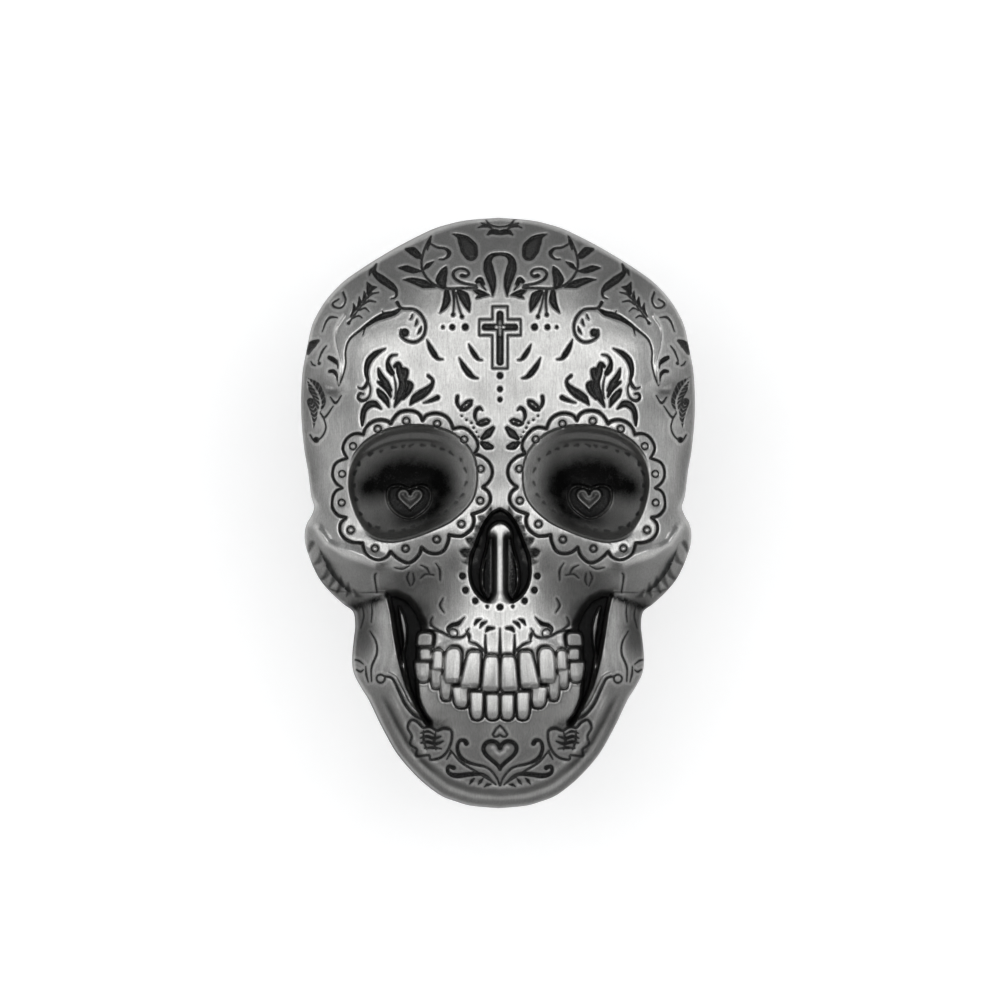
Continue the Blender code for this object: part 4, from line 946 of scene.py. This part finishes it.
for y, share in BACK_RINGS:
    ring_pts = np.stack([rim_xz[:, 0] * share, np.full(len(rim), y), rim_xz[:, 1] * share], -1)
    points.append(ring_pts)
    new = count + np.arange(len(rim))
    faces.append(np.stack([last, new, np.roll(new, -1), np.roll(last, -1)], -1))
    count += len(rim)
    last = new
points.append(np.array([[0.0, 0.0, 0.0]]))
verts = np.vstack(points) * MM
mesh = bpy.data.meshes.new("skull_relief")
loops = np.concatenate([np.concatenate(faces).ravel(), np.stack([last, np.full(len(last), count), np.roll(last, -1)], -1).ravel()])
sizes = np.concatenate([np.full(sum(len(f) for f in faces), 4), np.full(len(last), 3)])
mesh.vertices.add(len(verts))
mesh.vertices.foreach_set("co", verts.astype(np.float32).ravel())
mesh.loops.add(len(loops))
mesh.loops.foreach_set("vertex_index", loops.astype(np.int32))
mesh.polygons.add(len(sizes))
starts = np.concatenate([[0], np.cumsum(sizes)[:-1]])
mesh.polygons.foreach_set("loop_start", starts.astype(np.int32))
mesh.polygons.foreach_set("loop_total", sizes.astype(np.int32))
mesh.update(calc_edges=True)
mesh.validate()
bm = bmesh.new()
bm.from_mesh(mesh)
bmesh.ops.recalc_face_normals(bm, faces=bm.faces)
bm.to_mesh(mesh)
bm.free()
skull = bpy.data.objects.new("skull_relief", mesh)
bpy.context.scene.collection.objects.link(skull)
thin = skull.modifiers.new("thin", "DECIMATE")
thin.ratio = min(1.0, 196000.0 / (2 * (N * N + len(BACK_RINGS) * len(rim))))
thin.use_collapse_triangulate = True
bpy.context.view_layer.update()
lean_mesh = bpy.data.meshes.new_from_object(skull.evaluated_get(bpy.context.evaluated_depsgraph_get()))
skull.modifiers.clear()
skull.data = lean_mesh
mesh = skull.data
co = np.zeros(len(mesh.vertices) * 3, np.float32)
mesh.vertices.foreach_get("co", co)
co = co.reshape(-1, 3) / MM
for name, field in FIELDS.items():
    if name != "height":
        values = sample(field, co[:, 0] / DU, co[:, 2] / DU)
        values = np.where(co[:, 1] > -EDGE + 0.02, 0.0, values)
        a = mesh.attributes.new(name, "FLOAT", "POINT")
        a.data.foreach_set("value", values.astype(np.float32))
mesh.shade_smooth()
mesh.set_sharp_from_angle(angle=math.radians(62))


# ======================================================================================================================
# Finishes
# ======================================================================================================================
class Finish:
    """A material and short ways to add its nodes."""

    def __init__(self, name):
        self.m = bpy.data.materials.new(name)
        self.m.use_nodes = True
        self.t = self.m.node_tree
        self.shader = self.t.nodes["Principled BSDF"]
        self.coord = self.t.nodes.new("ShaderNodeTexCoord").outputs["Object"]

    def link(self, a, b):
        self.t.links.new(a, b)

    def put(self, socket, value):
        if hasattr(value, "is_linked"):
            self.link(value, socket)
        else:
            socket.default_value = value

    def attribute(self, name):
        n = self.t.nodes.new("ShaderNodeAttribute")
        n.attribute_name = name
        return n.outputs["Fac"]

    def scaled(self, x, y, z, rotate=(0, 0, 0)):
        n = self.t.nodes.new("ShaderNodeMapping")
        n.inputs["Scale"].default_value = (x, y, z)
        n.inputs["Rotation"].default_value = rotate
        self.link(self.coord, n.inputs["Vector"])
        return n.outputs["Vector"]

    def noise(self, vector, scale, detail=4.0, rough=0.55):
        n = self.t.nodes.new("ShaderNodeTexNoise")
        n.inputs["Scale"].default_value = scale
        n.inputs["Detail"].default_value = detail
        n.inputs["Roughness"].default_value = rough
        self.link(vector, n.inputs["Vector"])
        return n.outputs["Fac"]

    def voronoi(self, vector, scale):
        n = self.t.nodes.new("ShaderNodeTexVoronoi")
        n.inputs["Scale"].default_value = scale
        self.link(vector, n.inputs["Vector"])
        return n.outputs["Distance"]

    def math(self, op, a, b=0.0, c=0.0):
        n = self.t.nodes.new("ShaderNodeMath")
        n.operation = op
        self.put(n.inputs[0], a)
        self.put(n.inputs[1], b)
        self.put(n.inputs[2], c)
        return n.outputs[0]

    def span(self, value, a, b, lo=0.0, hi=1.0):
        n = self.t.nodes.new("ShaderNodeMapRange")
        n.interpolation_type = "SMOOTHSTEP"
        for i, v in enumerate((value, a, b, lo, hi)):
            self.put(n.inputs[i], v)
        return n.outputs[0]

    def mix(self, share, a, b):
        n = self.t.nodes.new("ShaderNodeMix")
        n.data_type = "RGBA"
        self.put(n.inputs["Factor"], share)
        self.put(n.inputs[6], (*a, 1) if isinstance(a, tuple) else a)
        self.put(n.inputs[7], (*b, 1) if isinstance(b, tuple) else b)
        return n.outputs[2]

    def axis(self, which):
        n = self.t.nodes.new("ShaderNodeSeparateXYZ")
        self.link(self.coord, n.inputs[0])
        return n.outputs[which]

    def bump(self, height, distance, strength=1.0, onto=None):
        n = self.t.nodes.new("ShaderNodeBump")
        n.inputs["Strength"].default_value = strength
        n.inputs["Distance"].default_value = distance
        self.link(height, n.inputs["Height"])
        if onto is not None:
            self.link(onto, n.inputs["Normal"])
        return n.outputs["Normal"]

    def set(self, name, value):
        self.put(self.shader.inputs[name], (*value, 1) if isinstance(value, tuple) and len(value) == 3 else value)


def antique_silver():
    f = Finish("antique_silver")
    recess, wear_and_painted_light, burr_and_highlight, shade = (f.attribute(n) for n in ("recess", "wear_and_painted_light", "burr_and_highlight", "shade"))
    streaks = f.noise(f.scaled(9000, 9000, 500), 1.0, 3.0, 0.6)
    fine = f.noise(f.scaled(26000, 26000, 2400), 1.0, 2.0, 0.6)
    grain = f.noise(f.coord, 9000, 5.0, 0.65)
    cloud = f.noise(f.coord, 420, 4.0, 0.6)
    pits = f.voronoi(f.coord, 7000)
    # dark, worn and polished metal; the worn share also carries painted highlights and painted shade
    worn_and_lit = f.math("ADD", wear_and_painted_light, f.math("MULTIPLY", f.math("SUBTRACT", cloud, 0.5), 0.26))
    worn_and_lit = f.math("MINIMUM", f.math("MAXIMUM", worn_and_lit, 0.0), 1.0)
    dull = f.mix(grain, (0.085, 0.085, 0.083), (0.20, 0.198, 0.192))
    bright = f.mix(streaks, (0.37, 0.368, 0.359), (0.70, 0.697, 0.683))
    colour = f.mix(worn_and_lit, dull, bright)
    # burr and raised lines painted brighter: a painted highlight
    colour = f.mix(f.math("MULTIPLY", f.math("MULTIPLY", burr_and_highlight, worn_and_lit), 0.45), colour, (0.80, 0.795, 0.78))
    # the shade attribute darkens the colour towards black: painted shade, and the dark ticks and smudges cut in the
    # metal
    painted_shade_share = f.math("MINIMUM", f.math("MULTIPLY", shade, f.math("ADD", f.math("MULTIPLY", grain, 0.5), 0.78)), 1.0)
    colour = f.mix(f.span(f.math("MULTIPLY", f.math("ADD", fine, grain), 0.5), 0.36, 0.70, 0.0, 0.34), colour, (0.05, 0.05, 0.05))
    dark = f.mix(f.span(grain, 0.35, 0.75), (0.012, 0.012, 0.012), (0.07, 0.07, 0.068))
    mask = f.span(f.math("ADD", recess, f.math("MULTIPLY", f.math("SUBTRACT", grain, 0.5), 0.35)), 0.25, 0.8)
    colour = f.mix(mask, colour, dark)
    colour = f.mix(painted_shade_share, colour, (0.006, 0.006, 0.006))
    f.set("Base Color", colour)
    f.set("Metallic", f.span(mask, 0, 1, 1.0, 0.55))
    rough = f.math("ADD", f.span(worn_and_lit, 0, 1, 0.52, 0.36), f.math("MULTIPLY", mask, 0.18))
    rough = f.math("ADD", rough, f.math("MULTIPLY", f.math("SUBTRACT", fine, 0.5), 0.10))
    f.set("Roughness", rough)
    n = f.bump(streaks, 0.000010, 0.5)
    n = f.bump(fine, 0.000006, 0.5, n)
    n = f.bump(grain, 0.000018, 0.45, n)
    n = f.bump(f.span(pits, 0.0, 0.35), 0.000010, 0.35, n)
    f.link(n, f.shader.inputs["Normal"])
    return f.m


def plated(name, low, high, rough, streak=(9000, 9000, 9000), spots=0.35):
    f = Finish(name)
    lines = f.noise(f.scaled(*streak), 1.0, 3.0, 0.6)
    cloud = f.noise(f.coord, 700, 5.0, 0.6)
    speck = f.voronoi(f.coord, 2600)
    stain = f.math("MULTIPLY", f.span(speck, 0.16, 0.02), spots)
    colour = f.mix(cloud, low, high)
    colour = f.mix(f.math("MULTIPLY", lines, 0.3), colour, tuple(min(1.0, 1.15 * c) for c in high))
    colour = f.mix(stain, colour, tuple(0.3 * c for c in low))
    f.set("Base Color", colour)
    f.set("Metallic", 1.0)
    f.set("Roughness", f.math("ADD", f.span(cloud, 0.3, 0.7, rough - 0.05, rough + 0.08), f.math("MULTIPLY", stain, 0.3)))
    n = f.bump(lines, 0.000012, 0.4)
    n = f.bump(cloud, 0.00006, 0.3, n)
    f.link(n, f.shader.inputs["Normal"])
    return f.m


antique = antique_silver()
skull.data.materials.append(antique)
skull_back = Finish("cast_back")


def cast_back():
    f = skull_back
    blast = f.noise(f.coord, 5200, 6.0, 0.7)
    cloud = f.noise(f.coord, 260, 4.0, 0.6)
    dents = f.voronoi(f.coord, 1900)
    colour = f.mix(f.span(cloud, 0.3, 0.7), (0.20, 0.20, 0.195), (0.40, 0.395, 0.385))
    colour = f.mix(f.span(blast, 0.62, 0.38, 0.0, 0.6), colour, (0.09, 0.09, 0.088))
    f.set("Base Color", colour)
    f.set("Metallic", 1.0)
    f.set("Roughness", f.span(blast, 0.3, 0.7, 0.42, 0.6))
    n = f.bump(blast, 0.00006, 0.6)
    n = f.bump(f.span(dents, 0.0, 0.3), 0.00003, 0.4, n)
    f.link(n, f.shader.inputs["Normal"])
    return f.m


skull.data.materials.append(cast_back())
centres = np.zeros(len(mesh.polygons) * 3, np.float32)
mesh.polygons.foreach_get("center", centres)
centres = centres.reshape(-1, 3) / MM
mesh.polygons.foreach_set("material_index", (centres[:, 1] > -EDGE + 0.01).astype(np.int32))
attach(skull, "pin")
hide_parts("skull_casting")

wire = plated("drawn_wire", (0.50, 0.49, 0.47), (0.74, 0.73, 0.70), 0.24, (16000, 900, 16000), 0.2)
tin = plated("dull_solder", (0.24, 0.245, 0.25), (0.46, 0.465, 0.47), 0.40, (5000, 5000, 5000), 0.6)
nickel = plated("nickel_plate", (0.56, 0.54, 0.50), (0.76, 0.74, 0.70), 0.20, (1500, 14000, 1500), 0.25)
wing_nickel = plated("wing_nickel", (0.60, 0.59, 0.57), (0.80, 0.79, 0.77), 0.17, (900, 900, 14000), 0.2)
blue_steel = plated("spring_strip", (0.16, 0.165, 0.18), (0.34, 0.345, 0.37), 0.26, (9000, 9000, 700), 0.3)
for name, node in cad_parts.items():
    if name == "skull_casting":
        continue
    if name.endswith("_post"):
        m = wire
    elif name.endswith("solder_ring"):
        m = tin
    elif name.endswith("_wing"):
        m = wing_nickel
    elif name.endswith("bow_spring"):
        m = blue_steel
    else:
        m = nickel
    node.data.materials.clear()
    node.data.materials.append(m)
    node.data.shade_smooth()
    node.data.set_sharp_from_angle(angle=math.radians(38))
    soft = node.modifiers.new("soft", "BEVEL")
    soft.width = 0.00004
    soft.segments = 2
    soft.limit_method = "ANGLE"
    soft.angle_limit = math.radians(50)
    soft.harden_normals = False

# The bow springs are rebuilt as curved strips, each a top and a bottom half that meet at its middle.
SPRING_T = 0.14
for where in ("upper", "lower"):
    for label, side in (("left", 1.0), ("right", -1.0)):
        node = f"{where}_{label}_bow_spring"
        low, high = (np.array(v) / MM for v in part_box(node))
        z_mid = (low[2] + high[2]) / 2
        y_mid, y_half = (low[1] + high[1]) / 2, (high[1] - low[1]) / 2
        for half_name, way in (("top", 1.0), ("bottom", -1.0)):
            section = []
            for k in range(12):
                a = 2 * math.pi * (k + 0.5) / 12
                c, sn = math.cos(a), math.sin(a)
                section.append((math.copysign(abs(c) ** 0.45, c) * SPRING_T / 2, math.copysign(abs(sn) ** 0.45, sn) * y_half))
            count_z = 40
            verts, faces = [], []
            for i in range(count_z + 1):
                z = 2.38 * i / count_z
                x = 2.16 - 0.34 * (z / 2.38) ** 2
                lean_x = -2 * 0.34 * z / 2.38**2
                size = 1.0 if i < count_z else 0.75
                for u, v in section:
                    verts.append((side * (x + size * u / math.hypot(1, lean_x)) * MM, (y_mid + size * v) * MM,
                                  (z_mid + way * (z - size * u * lean_x / math.hypot(1, lean_x))) * MM))
            for i in range(count_z):
                for k in range(12):
                    a, b = i * 12 + k, i * 12 + (k + 1) % 12
                    faces.append((a, b, b + 12, a + 12))
            faces.append(tuple(range(12)))
            faces.append(tuple(reversed(range(count_z * 12, count_z * 12 + 12))))
            me = bpy.data.meshes.new(f"{node}_{half_name}")
            me.from_pydata(verts, [], faces)
            bm = bmesh.new()
            bm.from_mesh(me)
            bmesh.ops.recalc_face_normals(bm, faces=bm.faces)
            bm.to_mesh(me)
            bm.free()
            me.materials.append(blue_steel)
            me.shade_smooth()
            me.set_sharp_from_angle(angle=math.radians(40))
            piece_o = bpy.data.objects.new(f"{node}_{half_name}", me)
            bpy.context.scene.collection.objects.link(piece_o)
            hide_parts(node)
            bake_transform(piece_o)

# ======================================================================================================================
# Stage
# ======================================================================================================================
HALF_H = 0.01905


def stage_material(name, colour, rough=0.9, one_sided=False, glow=0.0):
    f = Finish(name)
    cloud = f.noise(f.coord, 30, 3.0)
    f.set("Base Color", f.mix(cloud, colour, tuple(0.985 * c for c in colour)))
    f.set("Roughness", rough)
    f.set("Specular IOR Level", 0.1)
    if one_sided:
        t = f.t
        geo = t.nodes.new("ShaderNodeNewGeometry")
        clear = t.nodes.new("ShaderNodeBsdfTransparent")
        mixer = t.nodes.new("ShaderNodeMixShader")
        out = next(n for n in t.nodes if n.type == "OUTPUT_MATERIAL")
        t.links.new(geo.outputs["Backfacing"], mixer.inputs[0])
        f.shader.inputs["Emission Color"].default_value = (1, 1, 1, 1)
        f.shader.inputs["Emission Strength"].default_value = glow
        t.links.new(f.shader.outputs[0], mixer.inputs[1])
        t.links.new(clear.outputs[0], mixer.inputs[2])
        t.links.new(mixer.outputs[0], out.inputs[0])
    return f.m


def sheet(name, corners, mat):
    me = bpy.data.meshes.new(name)
    me.from_pydata(corners, [], [tuple(range(len(corners)))])
    o = bpy.data.objects.new(name, me)
    bpy.context.scene.collection.objects.link(o)
    me.materials.append(mat)
    return o


BACK = 0.018
W = 0.9
sheet("backdrop", [(-W, BACK, -W), (W, BACK, -W), (W, BACK, W), (-W, BACK, W)], stage_material("pale_backdrop", (0.96, 0.96, 0.96), 0.9, True, 0.25))
sheet("floor", [(-W, -W, -0.0345), (W, -W, -0.0345), (W, W, -0.0345), (-W, W, -0.0345)], stage_material("pale_floor", (0.90, 0.90, 0.90), 0.9, True))

world = bpy.data.worlds.new("studio")
bpy.context.scene.world = world
world.use_nodes = True
world.node_tree.nodes["Background"].inputs[0].default_value = (0.80, 0.82, 0.85, 1)
world.node_tree.nodes["Background"].inputs[1].default_value = 0.22
seen = world.node_tree.nodes.new("ShaderNodeBackground")
seen.inputs[0].default_value = (0.80, 0.805, 0.81, 1)
seen.inputs[1].default_value = 1.0
path = world.node_tree.nodes.new("ShaderNodeLightPath")
either = world.node_tree.nodes.new("ShaderNodeMixShader")
world.node_tree.links.new(path.outputs["Is Camera Ray"], either.inputs[0])
world.node_tree.links.new(world.node_tree.nodes["Background"].outputs[0], either.inputs[1])
world.node_tree.links.new(seen.outputs[0], either.inputs[2])
world.node_tree.links.new(either.outputs[0], next(n for n in world.node_tree.nodes if n.type == "OUTPUT_WORLD").inputs[0])


def softbox(name, at, to, w, h, power):
    lamp = bpy.data.lights.new(name, "AREA")
    lamp.shape = "RECTANGLE"
    lamp.size, lamp.size_y = w, h
    lamp.energy = power
    o = bpy.data.objects.new(name, lamp)
    bpy.context.scene.collection.objects.link(o)
    o.location = at
    o.rotation_mode = "QUATERNION"
    o.rotation_quaternion = (Vector(to) - Vector(at)).to_track_quat("-Z", "Y")
    return o


softbox("front_box", (0.0, -0.40, 0.06), (0, 0, 0), 0.62, 0.30, 1.36)
softbox("top_box", (0.0, -0.14, 0.34), (0, 0, 0), 0.40, 0.16, 0.05)
softbox("left_box", (-0.34, -0.10, 0.10), (0, 0, 0), 0.16, 0.36, 0.12)
softbox("right_box", (0.34, -0.10, 0.10), (0, 0, 0), 0.16, 0.36, 0.12)

camera = bpy.data.objects.new("camera", bpy.data.cameras.new("camera"))
bpy.context.scene.collection.objects.link(camera)
camera.data.lens = 300
camera.data.sensor_width = 36
front = -0.0022
view_height = 1000.0 * DU * MM  # what the frame's height spans at the skull's mid plane
distance = view_height / (camera.data.sensor_width / camera.data.lens)
camera.location = ((500.0 - CX) * DU * MM, front - distance, (CY - 500.0) * DU * MM)
camera.rotation_euler = (math.pi / 2, 0, 0)
camera.data.clip_start, camera.data.clip_end = 0.01, 5.0
bpy.context.scene.camera = camera
bpy.context.scene.view_settings.view_transform = "Standard"

bpy.context.view_layer.update()
